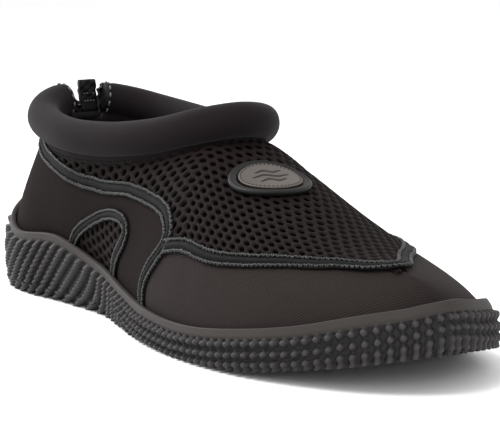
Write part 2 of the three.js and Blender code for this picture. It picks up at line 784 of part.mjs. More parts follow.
const INNER_WALL = NEOPRENE + 3 * CLEARANCE;
const FOAM_LOW = STROBEL_THICKNESS + CLEARANCE;
const COVER_LOW = FOAM_LOW + FOOTBED_FOAM + CLEARANCE;

add("outsole", outsole(), RUBBER);
add("strobel_board", plate(INNER_WALL, 0, STROBEL_THICKNESS), INNER_CLOTH);
add("footbed_foam", plate(INNER_WALL + TAPE_THICKNESS, FOAM_LOW, FOAM_LOW + FOOTBED_FOAM), FOAM);
add("footbed_cover", plate(INNER_WALL + TAPE_THICKNESS, COVER_LOW, COVER_LOW + FOOTBED_COVER), INNER_CLOTH);
add("toe_panel", cutAtSeams(sheet(toePanel(), 0, -NEOPRENE)), NEOPRENE_CLOTH);
add("vamp_mesh", vampSheet(0, -MESH_THICKNESS), MESH_CLOTH);
const liningTop = -MESH_THICKNESS - CLEARANCE;
add("vamp_lining", vampSheet(liningTop, liningTop - LINING_THICKNESS), INNER_CLOTH);
add("toe_seam_tape", toeTape(), TAPE_CLOTH);
for (const [side, word] of [[MEDIAL, "medial"], [LATERAL, "lateral"]]) {
  add("quarter_panel_" + word, largest(quarterPanel(side)), NEOPRENE_CLOTH);
  add("quarter_seam_tape_" + word, quarterTape(side), TAPE_CLOTH);
  add("arch_window_mesh_" + word, windowMesh(side), MESH_CLOTH);
  add("arch_window_tape_" + word, windowTape(side), TAPE_CLOTH);
}
add("collar_cover", collarCover(), NEOPRENE_CLOTH);
add("collar_foam", collarFoam(), FOAM);
add("heel_seam_tape", heelSeamTape(), WEBBING);
const tab = add("heel_pull_tab", pullTab(), WEBBING);
tab.position.copy(TAB_PIVOT);
tab.rotation.y = -THREE.MathUtils.degToRad(TAB_LEAN);
add("badge_base", badgeBase(), BADGE_RUBBER);
add("badge_plate", badgePlate(), BADGE_SATIN);

// The origin is on the ground, under the middle of the shoe's box.
const bounds = new THREE.Box3().setFromObject(shoe);
const origin = bounds.getCenter(new THREE.Vector3()).setZ(bounds.min.z);
for (const mesh of shoe.children) mesh.position.sub(origin);

export default shoe;
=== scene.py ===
"""A low slip-on water shoe of neoprene and mesh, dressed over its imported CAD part.

The shapes are worked out in millimetres in the pattern's own frame and stored in metres.
"""

import math

import bpy
import numpy as np
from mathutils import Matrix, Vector
from mathutils.geometry import delaunay_2d_cdt


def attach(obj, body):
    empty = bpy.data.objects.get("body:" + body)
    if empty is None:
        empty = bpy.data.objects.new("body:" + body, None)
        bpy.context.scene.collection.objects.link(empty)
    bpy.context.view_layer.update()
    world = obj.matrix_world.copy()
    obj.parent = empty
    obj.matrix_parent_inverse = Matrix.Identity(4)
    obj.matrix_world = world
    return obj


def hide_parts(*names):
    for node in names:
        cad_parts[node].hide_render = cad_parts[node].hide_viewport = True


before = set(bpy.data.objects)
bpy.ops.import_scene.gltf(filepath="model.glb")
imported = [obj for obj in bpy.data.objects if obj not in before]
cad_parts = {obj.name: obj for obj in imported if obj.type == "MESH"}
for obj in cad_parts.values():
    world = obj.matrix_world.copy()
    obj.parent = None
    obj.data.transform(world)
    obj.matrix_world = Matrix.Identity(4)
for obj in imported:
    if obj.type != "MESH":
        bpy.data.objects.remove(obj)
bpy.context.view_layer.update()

MM = 0.001
ORIGIN = (-0.6711, 0.4749, 0)
RNG = np.random.default_rng(11)
UP = np.array([0.0, 0.0, 1.0])

# ------------------------------------------------------------------ the pattern's sizes, mm
CLEARANCE = 0.3
SOLE_THICKNESS = 4.5
RAND_WALL = 2.4
RAND_BAND = 3.0
STUD_HEIGHT = 2.0
SOLE_EDGE_BEVEL = 3.0
STUD_PITCH = 4.35
BEAD_PITCH = 2.2
NEOPRENE = 2.4
MESH_THICKNESS = 1.1
LINING_THICKNESS = 0.7
TAPE_WIDTH = 5.4
WINDOW_TAPE_WIDTH = 4.2
COLLAR_RADIUS = 6.8
COLLAR_SPLIT = 14.0
SPLIT_MIDDLE = 1.7
TAB_WIDTH = 7.6
TAB_THICKNESS = 3.0
TAB_LENGTH = 12.0
TAB_LEAN = math.radians(8)
TAB_MIDDLE = 3.9
STROBEL_THICKNESS = 1.4
FOOTBED_FOAM = 4.0
FOOTBED_COVER = 0.9
BADGE_LENGTH = 31.0
BADGE_WIDTH = 23.0
HOLE_PITCH = 4.4
TOE_BEAD_PITCH = 3.4
STUD_LEAN = ((0, 0.1, 0.2, 0.3, 0.42, 0.6), (0.9, 1.1, 1.2, 0.95, 0.5, 0.08))  # by share of the sole
COLUMN_PITCHES = ((0, 0.3, 0.5), (1.65, 1.5, 1.0))  # stud pitches, by share of the sole
SEAM_REACH = 2.6
PATH_STEP = 0.8
COLLAR_STEP = 1.3
BINDING_WIDTH = 3.2
TAB_PIVOT_HEIGHT = 72.1
HEEL_TAPE_ENDS = (0.22, 0.97)  # up the last
HEEL_TAPE_EDGES = (-0.018, 0.006)  # turns
FOOTBED_INSET = 1.8
CAMERA_TARGET = (17.0, 0.0, 45.4)
NEWTON_ROUNDS = 14

# Stations 0 (heel) to 12 (toe), one column for each.
STATIONS = {
    "footX": [-138, -129, -106, -75, -42, -12, 18, 48, 76, 102, 123, 135, 139],
    "footMedial": [0, 17, 25, 24, 25, 34, 43, 47, 46, 39, 28, 15, 4],
    "footLateral": [0, 18, 29, 33, 35, 38, 41, 45, 46, 40, 27, 10, -4],
    "ground": [0, 0, 0, 0, 0, 0, 0, 0, 1, 5, 9, 11.5, 12.5],
    "rand": [42, 32, 26, 28, 21, 15.5, 13, 12.5, 15, 19, 24, 27.5, 30],
    "topX": [-106, -103, -90, -63, -38, -14, 4, 10, 38, 67, 93, 115, 131],
    "topMedial": [0, 14.5, 25.5, 31, 29, 23, 13, 0, -2, -5, -7, -8, -8],
    "topLateral": [0, 16.5, 29, 33, 30, 24, 14, 0, -2, -5, -7, -8, -8],
    "topZ": [70, 68, 64, 61, 61, 64, 69, 71, 58, 47, 41, 39.5, 37],
    "facing": [180, 140, 105, 90, 90, 90, 90, 90, 90, 90, 90, 90, 90],
    "wallOut": [2, 3, 5, 6, 6, 3, 2, 1, 1, 1, 1, 1, 0],
    "wallRise": [25, 25, 24, 24, 24, 24, 24, 24, 22, 20, 18, 17, 16],
    "crownMedial": [6, 8, 8, 5, 6, 14, 20, 30, 30, 26, 19, 9, 0],
    "crownLateral": [6, 8, 8, 5, 6, 12, 18, 24, 24, 21, 16, 8, 0],
    "crownDrop": [24, 24, 22, 20, 18, 12, 6, 0, 0, 0, 0, 1, 5],
    "crownForward": [0, 0, 0, 0, 0, 0, 0, 0, 0, 1, 2, 5, 8],
}
THROAT, TOE, LAPS = 7, 12, 24
MEDIAL, LATERAL = -1, 1

QUARTER_SEAM = [
    [5.67, 0], [5.67, 0.1], [5.72, 0.21], [5.98, 0.31], [6.36, 0.39], [6.47, 0.46], [6.25, 0.535],
    [5.85, 0.595], [4.86, 0.74], [3.85, 0.82], [3.04, 0.875], [2.33, 0.94], [1.7, 1],
]
JUNCTION = 1 / 3
TOE_SEAM = [
    [7.54, 0.413], [8.23, 0.463], [8.83, 0.531], [9.39, 0.606], [10, 0.706], [10.6, 0.8],
    [10.95, 0.87], [11.25, 1],
]
WINDOW_ARCH = [
    [3.3, 0], [3.3, 0.2], [3.36, 0.34], [3.6, 0.47], [4, 0.56], [4.42, 0.59], [4.82, 0.555],
    [5.02, 0.49], [4.96, 0.42], [4.72, 0.34], [4.52, 0.25], [4.42, 0.15], [4.4, 0],
]


# ------------------------------------------------------------------ the last's surface
def cubic(a, b, c, d, f):
    """The smooth curve from b to c, at share f, with a and d beyond them."""
    return 0.5 * (2 * b + (c - a) * f + (2 * a - 5 * b + 4 * c - d) * f**2 + (3 * b - a - 3 * c + d) * f**3)


def catmull(points, t, closed=True):
    points, t = np.asarray(points, float), np.asarray(t, float)
    count = len(points)
    if closed:
        at = (t % 1.0) * count
        i = np.floor(at).astype(int)
        a, b, c, d = (points[(i + k) % count] for k in (-1, 0, 1, 2))
    else:
        at = np.clip(t, 0, 1) * (count - 1)
        i = np.minimum(np.floor(at).astype(int), count - 2)
        ends = np.vstack([2 * points[0] - points[1], points, 2 * points[-1] - points[-2]])
        a, b, c, d = (ends[i + k] for k in (0, 1, 2, 3))
    return cubic(a, b, c, d, (at - i)[..., None])


def station_loop(point_at, last=TOE):
    medial = [point_at(i, MEDIAL) for i in range(last + 1)]
    return np.array(medial + [point_at(i, LATERAL) for i in range(last - 1, 0, -1)], float)


def column(name, i):
    return STATIONS[name][i]


def by_side(stem, i, side):
    return column(stem + ("Medial" if side == MEDIAL else "Lateral"), i)


def outward(i, side):
    angle = math.radians(column("facing", i))
    return np.array([math.cos(angle), side * math.sin(angle), 0])


FOOT = station_loop(lambda i, s: [column("footX", i), s * by_side("foot", i, s), 0])
LEVEL = station_loop(lambda i, s: [column("ground", i), column("rand", i)])
WALL = station_loop(lambda i, s: outward(i, s) * column("wallOut", i) + UP * column("wallRise", i))
CROWN = station_loop(
    lambda i, s: outward(i, s) * by_side("crown", i, s)
    + np.array([column("crownForward", i), 0, -column("crownDrop", i)])
)
COLLAR = station_loop(
    lambda i, s: [column("topX", i), s * by_side("top", i, s), column("topZ", i)], THROAT
)
RIDGE = np.array([STATIONS["topX"], STATIONS["topMedial"], STATIONS["topZ"]], float).T[THROAT:]


def station_of(t):
    """Stations from the heel, on whichever side the turn is."""
    t = np.asarray(t, float) % 1.0
    return np.minimum(t, 1 - t) * LAPS


def top_at(t):
    t = np.asarray(t, float) % 1.0
    station = station_of(t)
    share = station / (2 * THROAT)
    collar = catmull(COLLAR, np.where(t < 0.5, share, -share))
    ridge = catmull(RIDGE, (station - THROAT) / (TOE - THROAT), closed=False)
    return np.where((station > THROAT)[..., None], ridge, collar)


def ground_at(t):
    return np.maximum(catmull(LEVEL, t)[..., 0], 0)


def rand_at(t):
    return catmull(LEVEL, t)[..., 1]


def floor_at(t):
    return ground_at(t) + SOLE_THICKNESS


def surface(t, v):
    t, v = np.broadcast_arrays(np.asarray(t, float), np.asarray(v, float))
    foot = catmull(FOOT, t)
    foot[..., 2] = floor_at(t)
    top = top_at(t)
    wall, crown = foot + catmull(WALL, t), top + catmull(CROWN, t)
    v = v[..., None]
    return (1 - v) ** 3 * foot + 3 * (1 - v) ** 2 * v * wall + 3 * (1 - v) * v**2 * crown + v**3 * top


def unit(a):
    return a / np.maximum(np.linalg.norm(a, axis=-1, keepdims=True), 1e-9)


def run_of(line):
    """The length run along a line at each of its points."""
    return np.concatenate([[0], np.cumsum(np.linalg.norm(np.diff(line, axis=0), axis=1))])


def along_run(at, run, points):
    """Points of a line at given lengths along it."""
    return np.stack([np.interp(at, run, points[:, k]) for k in range(points.shape[1])], 1)


def normal_on_side(t, v, step=1e-3):
    along = surface(t + step, v) - surface(t - step, v)
    rise = surface(t, np.minimum(v + step, 1)) - surface(t, np.maximum(v - step, 0))
    return unit(np.cross(along, rise))


def normal(t, v):
    t, v = np.broadcast_arrays(np.asarray(t, float), np.asarray(v, float))
    here, other = normal_on_side(t, v), normal_on_side(1 - t, v)
    share = smooth(0.9, 1.0, v) * smooth(THROAT - 0.3, THROAT, station_of(t))
    return unit(here + other * share[..., None])


def lifted(t, v, lift):
    return surface(t, v) + normal(t, v) * np.asarray(lift)[..., None]


def smooth(low, high, x):
    s = np.clip((np.asarray(x, float) - low) / (high - low), 0, 1)
    return s * s * (3 - 2 * s)


def side_turn(side, station):
    return station / LAPS if side == MEDIAL else 1 - station / LAPS


def seam_part(points, count, low=0.0, high=1.0):
    """Points of a seam between two shares of it."""
    points = np.array(points, float)
    at = np.linspace(low, high, count) * (len(points) - 1)
    i = np.minimum(np.floor(at).astype(int), len(points) - 2)
    ends = np.vstack([points[0], points, points[-1]])
    a, b, c, d = (ends[i + k] for k in (0, 1, 2, 3))
    return cubic(a, b, c, d, (at - i)[:, None])


# ------------------------------------------------------------------ mesh building
def make(name, verts, faces, slots, cloth=None, face_slots=None):
    """An object from vertices in pattern millimetres; those that no face uses are dropped."""
    used, flat = np.unique(np.concatenate([np.asarray(face, int) for face in faces]), return_inverse=True)
    splits = np.cumsum([len(face) for face in faces])[:-1]
    faces = np.split(flat.reshape(-1), splits)
    cloth = None if cloth is None else np.asarray(cloth, float).reshape(-1, 3)[used]
    mesh = bpy.data.meshes.new(name)
    verts = (np.asarray(verts, float)[used] + ORIGIN) * MM
    mesh.from_pydata(verts.tolist(), [], [list(map(int, f)) for f in faces])
    for slot in slots:
        mesh.materials.append(slot)
    if cloth is not None:
        layer = mesh.attributes.new("cloth", "FLOAT_VECTOR", "POINT")
        layer.data.foreach_set("vector", np.asarray(cloth, np.float32).ravel())
    if face_slots is not None:
        mesh.polygons.foreach_set("material_index", np.asarray(face_slots, np.int32))
    mesh.polygons.foreach_set("use_smooth", [True] * len(mesh.polygons))
    mesh.validate()
    mesh.update()
    piece = bpy.data.objects.new(name, mesh)
    bpy.context.scene.collection.objects.link(piece)
    return piece


def grid_faces(rows, columns, wrap=False, flip=False, start=0):
    i, j = np.meshgrid(np.arange(rows - 1), np.arange(columns if wrap else columns - 1), indexing="ij")
    k = (j + 1) % columns
    quads = np.stack([i * columns + j, i * columns + k, (i + 1) * columns + k, (i + 1) * columns + j], -1)
    quads = quads.reshape(-1, 4) + start
    return quads[:, ::-1] if flip else quads


def tube_faces(rows, ring, flip=False):
    """The faces of a tube, rows of one ring after another, with both ends closed."""
    first, last = list(range(ring)), [(rows - 1) * ring + k for k in range(ring)]
    caps = [first, last[::-1]] if flip else [first[::-1], last]
    return grid_faces(rows, ring, wrap=True, flip=flip).tolist() + caps


def web(verts, first, half, mid, flip=False, lift=None):
    """Fills a round of 2 x half points, from the vertex first on, with lanes from side to side."""
    k, shares = np.arange(1, half), np.linspace(0, 1, mid + 1)[1:-1]
    a, b = verts[first + k], verts[first + 2 * half - k]
    new = a[:, None] + (b - a)[:, None] * shares[None, :, None]
    if lift:
        new = new + UP * lift(new)[..., None]
    ids = len(verts) + np.arange((half - 1) * (mid - 1)).reshape(half - 1, mid - 1)
    ids = np.hstack([(first + k)[:, None], ids, (first + 2 * half - k)[:, None]])
    lanes = range(mid)
    made = [
        [ids[r, c], ids[r, c + 1], ids[r + 1, c + 1], ids[r + 1, c]] for r in range(half - 2) for c in lanes
    ]
    made += [[first, ids[0, c + 1], ids[0, c]] for c in lanes]
    made += [[first + half, ids[-1, c], ids[-1, c + 1]] for c in lanes]
    return np.vstack([verts, new.reshape(-1, 3)]), [face[::-1] for face in made] if flip else made


def joined(parts):
    """Several (verts, faces, slot, cloth) sets as one."""
    verts, faces, slots, cloth, base = [], [], [], [], 0
    for part_verts, part_faces, slot, part_cloth in parts:
        part_verts = np.asarray(part_verts, float).reshape(-1, 3)
        verts.append(part_verts)
        faces += [[int(k) + base for k in face] for face in part_faces]
        slots += [slot] * len(part_faces)
        cloth.append(part_verts if part_cloth is None else np.asarray(part_cloth).reshape(-1, 3))
        base += len(part_verts)
    return np.vstack(verts), faces, slots, np.vstack(cloth)


def inside(points, outline):
    x, y = points[:, 0:1], points[:, 1:2]
    a, b = outline, np.roll(outline, -1, 0)
    crosses = (a[:, 1] > y) != (b[:, 1] > y)
    rise = np.where(b[:, 1] == a[:, 1], 1e-12, b[:, 1] - a[:, 1])
    return ((crosses & (x < (b[:, 0] - a[:, 0]) * (y - a[:, 1]) / rise + a[:, 0])).sum(1) % 2) == 1


def distance(points, line, closed=False):
    """Least distance from each point to a polyline, in the plane or in space."""
    a, b = (line, np.roll(line, -1, 0)) if closed else (line[:-1], line[1:])
    least = np.full(len(points), np.inf)
    for start in range(0, len(points), 4000):
        p = points[start : start + 4000, None]
        edge = b - a
        share = ((p - a) * edge).sum(-1) / np.maximum((edge**2).sum(-1), 1e-12)
        gap = p - (a + edge * np.clip(share, 0, 1)[..., None])
        least[start : start + 4000] = np.sqrt((gap**2).sum(-1)).min(1)
    return least


STATION_GRID = np.linspace(0, TOE, 241)
ROUND_MM = run_of(surface(STATION_GRID / LAPS, 0.4))
RISE_MM = 62.0


def to_plane(line):
    return np.stack([np.interp(line[:, 0], STATION_GRID, ROUND_MM), line[:, 1] * RISE_MM], 1)


def from_plane(points):
    return np.interp(points[:, 0], ROUND_MM, STATION_GRID), np.clip(points[:, 1] / RISE_MM, 0, 1)


def spaced(line, step, closed=False):
    line = np.vstack([line, line[:1]]) if closed else line
    run = run_of(line)
    at = np.linspace(0, run[-1], max(int(run[-1] / step), 1) + 1)
    out = along_run(at, run, line)
    return out[:-1] if closed else out


def region(lines, step=2.2, hole=None):
    """Triangles that fill an outline of [station, v] lines: station, v and faces."""
    outline = np.vstack([spaced(to_plane(line), step)[:-1] for line in lines])
    edges = [(k, (k + 1) % len(outline)) for k in range(len(outline))]
    points = outline
    if hole is not None:
        rim = spaced(to_plane(hole), step)
        edges += [(len(points) + k, len(points) + k + 1) for k in range(len(rim) - 1)]
        points = np.vstack([points, rim])
    low, high = outline.min(0), outline.max(0)
    row = np.arange(low[0], high[0], step)
    fill = np.vstack(
        [
            np.stack([row + (k % 2) * step / 2, np.full_like(row, y)], 1)
            for k, y in enumerate(np.arange(low[1], high[1], step * 0.87))
        ]
    )
    fill = fill[inside(fill, outline)]
    fill = fill[distance(fill, outline, closed=True) > 0.6 * step]
    if hole is not None:
        fill = fill[distance(fill, rim) > 0.6 * step]
    points = np.vstack([points, fill])
    made = delaunay_2d_cdt([Vector(p) for p in points], edges, [], 0, 1e-6)
    verts = np.array([tuple(p) for p in made[0]])
    faces = np.array(made[2])
    middle = verts[faces].mean(1)
    keep = inside(middle, outline)
    if hole is not None:
        keep &= ~inside(middle, to_plane(hole))
    station, v = from_plane(verts)
    return station, v, faces[keep]


def both_sides(lines, sides, **more):
    """The region on one or both sides, welded where they meet: turn, v and faces."""
    station, v, faces = region(lines, **more)
    count = len(station)
    shared = ((v > 1 - 1e-5) & (station > THROAT - 1e-4)) | (station > TOE - 1e-4)
    t, v = np.concatenate([side_turn(side, station) for side in sides]), np.tile(v, len(sides))
    turned = [faces if side == MEDIAL else faces[:, ::-1] for side in sides]
    faces = np.vstack([part + k * count for k, part in enumerate(turned)])
    back = np.arange(len(t))
    if len(sides) == 2:
        back[count:][shared] = np.flatnonzero(shared)
    first, faces = np.unique(back[faces], return_inverse=True)
    faces = faces.reshape(-1, 3)
    good = (faces[:, 0] != faces[:, 1]) & (faces[:, 1] != faces[:, 2]) & (faces[:, 0] != faces[:, 2])
    return t[first], v[first], faces[good]


def edges_of(faces):
    """All the edges, and those that only one face has."""
    edges = np.concatenate([faces[:, [0, 1]], faces[:, [1, 2]], faces[:, [2, 0]]])
    known = {(a, b) for a, b in edges.tolist()}
    return edges, [(a, b) for a, b in edges.tolist() if (b, a) not in known]


def thick_sheet(outer, out, thickness, faces):
    """A closed sheet from its outer face."""
    inner = outer - out * thickness
    count = len(outer)
    sides = [[b, a, a + count, b + count] for a, b in edges_of(faces)[1]]
    return np.vstack([outer, inner]), faces.tolist() + (faces[:, ::-1] + count).tolist() + sides


def area_of(verts, faces):
    a, b, c = (verts[faces[:, k]] for k in range(3))
    return 0.5 * np.linalg.norm(np.cross(b - a, c - a), axis=1).sum()


def cloth_xy(t, v):
    """Coordinates along and up the cloth, mm, for its weave."""
    far_side = np.where(np.asarray(t) % 1 < 0.5, 0, 300)
    return np.stack([np.interp(station_of(t), STATION_GRID, ROUND_MM), v * RISE_MM, far_side], -1)


def upright_cloth(verts):
    """Weave coordinates up and across a piece that stands at the heel."""
    return np.stack([verts[..., 2], verts[..., 1], 0 * verts[..., 0]], -1)


def threads(starts, ends, ups, radius, arch):
    """Short stitches, each a little tapered roll of thread."""
    starts, ends, ups = (np.asarray(x, float) for x in (starts, ends, ups))
    along = unit(ends - starts)
    across = unit(np.cross(along, ups))
    over = np.cross(across, along)
    rings, sides = [], 6
    girths = ((0.0, 0.35), (0.12, 0.9), (0.5, 1.0), (0.88, 0.9), (1.0, 0.35))
    for share, girth in girths:
        centre = starts + (ends - starts) * share + over * (arch * 4 * share * (1 - share))
        for k in range(sides):
            angle = 2 * math.pi * k / sides
            rings.append(centre + girth * radius * (math.cos(angle) * across + math.sin(angle) * over))
    size, tube = len(rings), tube_faces(len(girths), sides)
    faces = [[n * size + k for k in face[::-1]] for n in range(len(starts)) for face in tube]
    return np.stack(rings, 1).reshape(-1, 3), faces


def wobble(count, scale, seed, step):
    """Smooth noise along a line, about -1 to 1."""
    rng = np.random.default_rng(seed)
    knots = max(int(count * step / scale) + 3, 4)
    return np.interp(np.linspace(0, knots - 1, count), np.arange(knots), rng.uniform(-1, 1, knots))


# ------------------------------------------------------------------ materials
def srgb(*rgb):
    return tuple((c / 255 / 12.92 if c <= 10 else ((c / 255 + 0.055) / 1.055) ** 2.4) for c in rgb) + (1.0,)


def material(
    name, colour, rough, spread=0.18, blotch=0.05, ribs=None, grain=0.0, sheen=0.0, specular=0.5,
    speck=0.0, relief=0.0,
):
    """A procedural surface. ribs is (spacing mm, degrees, depth, darkening); grain is a fine bump;
    speck scatters light specks as painted glints; relief paints shade on the low parts of a stored height."""
    mat = bpy.data.materials.new(name)
    mat.use_nodes = True
    nodes, links = mat.node_tree.nodes, mat.node_tree.links

    def fill(made, inputs):
        """Sets a node's inputs to values, or links them to other nodes' outputs."""
        for key, value in inputs.items():
            socket = made.inputs[key.replace("_", " ")]
            if isinstance(value, bpy.types.NodeSocket):
                links.new(value, socket)
            else:
                socket.default_value = value
        return made

    def node(kind, **inputs):
        return fill(nodes.new(kind), inputs)

    def tone(factor):
        return tuple(min(c * factor, 1) for c in colour[:3]) + (1,)

    def noise(scale, detail):
        return node("ShaderNodeTexNoise", Vector=place, Scale=scale, Detail=detail).outputs["Fac"]

    def ramp(source, *stops):
        made = node("ShaderNodeValToRGB", Fac=source)
        for element, (position, shade) in zip(made.color_ramp.elements, stops):
            element.position, element.color = position, shade
        return made.outputs["Color"]

    def stored_cloth():
        made = nodes.new("ShaderNodeAttribute")
        made.attribute_name = "cloth"
        return made.outputs["Vector"]

    def multiplied(first, second, share):
        made = node("ShaderNodeMixRGB", Fac=share, Color1=first, Color2=second)
        made.blend_type = "MULTIPLY"
        return made.outputs["Color"]

    place = nodes.new("ShaderNodeTexCoord").outputs["Object"]
    tint = ramp(noise(1 / blotch, 3.0), (0.3, tone(1 - spread)), (0.72, tone(1 + spread)))
    surface_inputs = {}
    if ribs:
        spacing, angle, depth, darkening = ribs
        turned = node("ShaderNodeMapping", Vector=stored_cloth(), Rotation=(0, 0, math.radians(angle)))
        wave = node(
            "ShaderNodeTexWave", Vector=turned.outputs["Vector"], Scale=0.314 / spacing, Distortion=0.6
        ).outputs["Fac"]
        tint = multiplied(tint, (1 - darkening, 1 - darkening, 1 - darkening, 1), wave)
        bump = node("ShaderNodeBump", Strength=0.6, Distance=depth * MM, Height=wave)
        bump.invert = True
        surface_inputs["Normal"] = bump.outputs["Normal"]
    # relief is painted shade: darker where the stored height is low, as in the valleys between the studs.
    if relief:
        level = node("ShaderNodeSeparateXYZ", Vector=stored_cloth()).outputs["Z"]
        shade = node("ShaderNodeMapRange", Value=level, To_Min=1 - relief, To_Max=1.15)
        tint = multiplied(tint, shade.outputs["Result"], 1.0)
    # Light specks scattered in the colour: painted glints of the threads.
    if speck:
        dots = ramp(noise(2600.0, 1.0), (0.66, (0, 0, 0, 1)), (0.74, (1, 1, 1, 1)))
        lighter = node("ShaderNodeMixRGB", Fac=dots, Color1=tint, Color2=tone(1 + speck))
        tint = lighter.outputs["Color"]
    if grain:
        fine = noise(1100.0, 2.0)
        bump = node("ShaderNodeBump", Strength=0.5, Distance=grain * MM, Height=fine, **surface_inputs)
        surface_inputs["Normal"] = bump.outputs["Normal"]
    surface_inputs.update(Roughness=rough, Specular_IOR_Level=specular, Sheen_Weight=sheen, Base_Color=tint)
    fill(nodes["Principled BSDF"], surface_inputs | {"Sheen_Roughness": 0.45})
    return mat


BAND = material("rubber_band", srgb(46, 42, 40), 0.6, 0.12, 0.03, grain=0.12, specular=0.2)
# The studs' relief darkening is painted shade in the valleys between them.
STUDS = material("rubber_studs", srgb(43, 40, 41), 0.55, 0.14, 0.02, grain=0.10, specular=0.25, relief=0.8)
TREAD = material("rubber_tread", srgb(38, 36, 37), 0.7, 0.2, 0.02, grain=0.2, specular=0.2)
# The last argument of the neoprene, collar, mesh, inner, thread and webbing materials is speck: light specks
# that paint glints.
HEEL_CLOTH = material(
    "neoprene_heel", srgb(29, 24, 23), 0.9, 0.10, 0.05, (0.95, 40, 0.14, 0.35), 0.05, 0.0, 0.05, 0.4
)
TOE_CLOTH = material(
    "neoprene_toe", srgb(33, 26, 25), 0.8, 0.10, 0.05, (1.1, 38, 0.16, 0.4), 0.05, 0.0, 0.12, 0.3
)
COLLAR_CLOTH = material(
    "collar_knit", srgb(22, 17, 19), 0.85, 0.10, 0.04, (0.8, 0, 0.08, 0.22), 0.05, 0.04, 0.10, 0.4
)
NET = material("mesh_knit", srgb(19, 13, 12), 0.75, 0.16, 0.03, None, 0.18, 0.0, 0.08, 0.9)
LINING = material("lining_knit", srgb(20, 11, 10), 0.9, 0.15, 0.02, (0.7, 0, 0.1, 0.2), 0.05, 0.0, 0.05)
INNER = material("inner_knit", srgb(33, 28, 30), 0.85, 0.12, 0.04, (0.9, 0, 0.1, 0.2), 0.08, 0.05, 0.15, 0.2)
TAPE = material("seam_tape", srgb(13, 12, 12), 0.65, 0.15, 0.02, (0.6, 90, 0.06, 0.25), 0.05, 0.0, 0.08)
THREAD = material("seam_thread", srgb(5, 5, 6), 0.3, 0.3, 0.004, None, 0.05, 0.0, 0.4, 0.5)
WEBBING = material("webbing", srgb(6, 5, 6), 0.6, 0.2, 0.01, (0.9, 90, 0.15, 0.3), 0.1, 0.0, 0.15, 0.4)
# The stitch colour is light grey to paint the glints on the stitches of the roll ends, split webbing and pull
# tab.
GLINT_STITCH = material("stitch_painted_glint", srgb(84, 80, 82), 0.4, 0.3, 0.004, None, 0.05, 0.0, 0.5)
FOAM = material("foam", srgb(52, 50, 51), 0.95, 0.15, 0.005, None, 0.4, 0.0, 0.1)
BOARD = material("board", srgb(50, 47, 46), 0.9, 0.15, 0.01, None, 0.3, 0.0, 0.2)
BADGE_RUBBER = material("badge_rubber", srgb(17, 15, 15), 0.45, 0.1, 0.01, None, 0.04, 0.0, 0.25)
BADGE_SATIN = material("badge_satin", srgb(72, 65, 61), 0.42, 0.08, 0.01, None, 0.05, 0.0, 0.35)
BADGE_INK = material("badge_ink", srgb(30, 27, 26), 0.5, 0.1, 0.01, None, 0.03, 0.0, 0.3)


# ------------------------------------------------------------------ outsole
def v_at_level(t, z):
    low, high = np.zeros_like(z), np.ones_like(z)
    for _ in range(18):
        middle = (low + high) / 2
        under = surface(t, middle)[..., 2] < z
        low, high = np.where(under, middle, low), np.where(under, high, middle)
    return low


def wall_point(t, z, out):
    t, z, out = np.broadcast_arrays(t, np.asarray(z, float), np.asarray(out, float))
    above = lifted(t, v_at_level(t, z), out)
    ahead = catmull(FOOT, t + 1e-3) - catmull(FOOT, t - 1e-3)
    away = unit(np.cross(ahead, UP))
    below = catmull(FOOT, t) + away * out[..., None]
    below[..., 2] = z
    return np.where((z >= floor_at(t))[..., None], above, below)


def even_turns(half):
    """Turns at even steps round the foot's edge, from the heel to the toe and back."""
    fine = np.linspace(0, TOE, 2001)
    line = (catmull(FOOT, fine / LAPS) + catmull(FOOT, 1 - fine / LAPS) * [1, -1, 1]) / 2
    run = run_of(line)
    stations = np.interp(np.linspace(0, run[-1], half + 1), run, fine)
    return np.concatenate([stations / LAPS, 1 - stations[-2:0:-1] / LAPS])


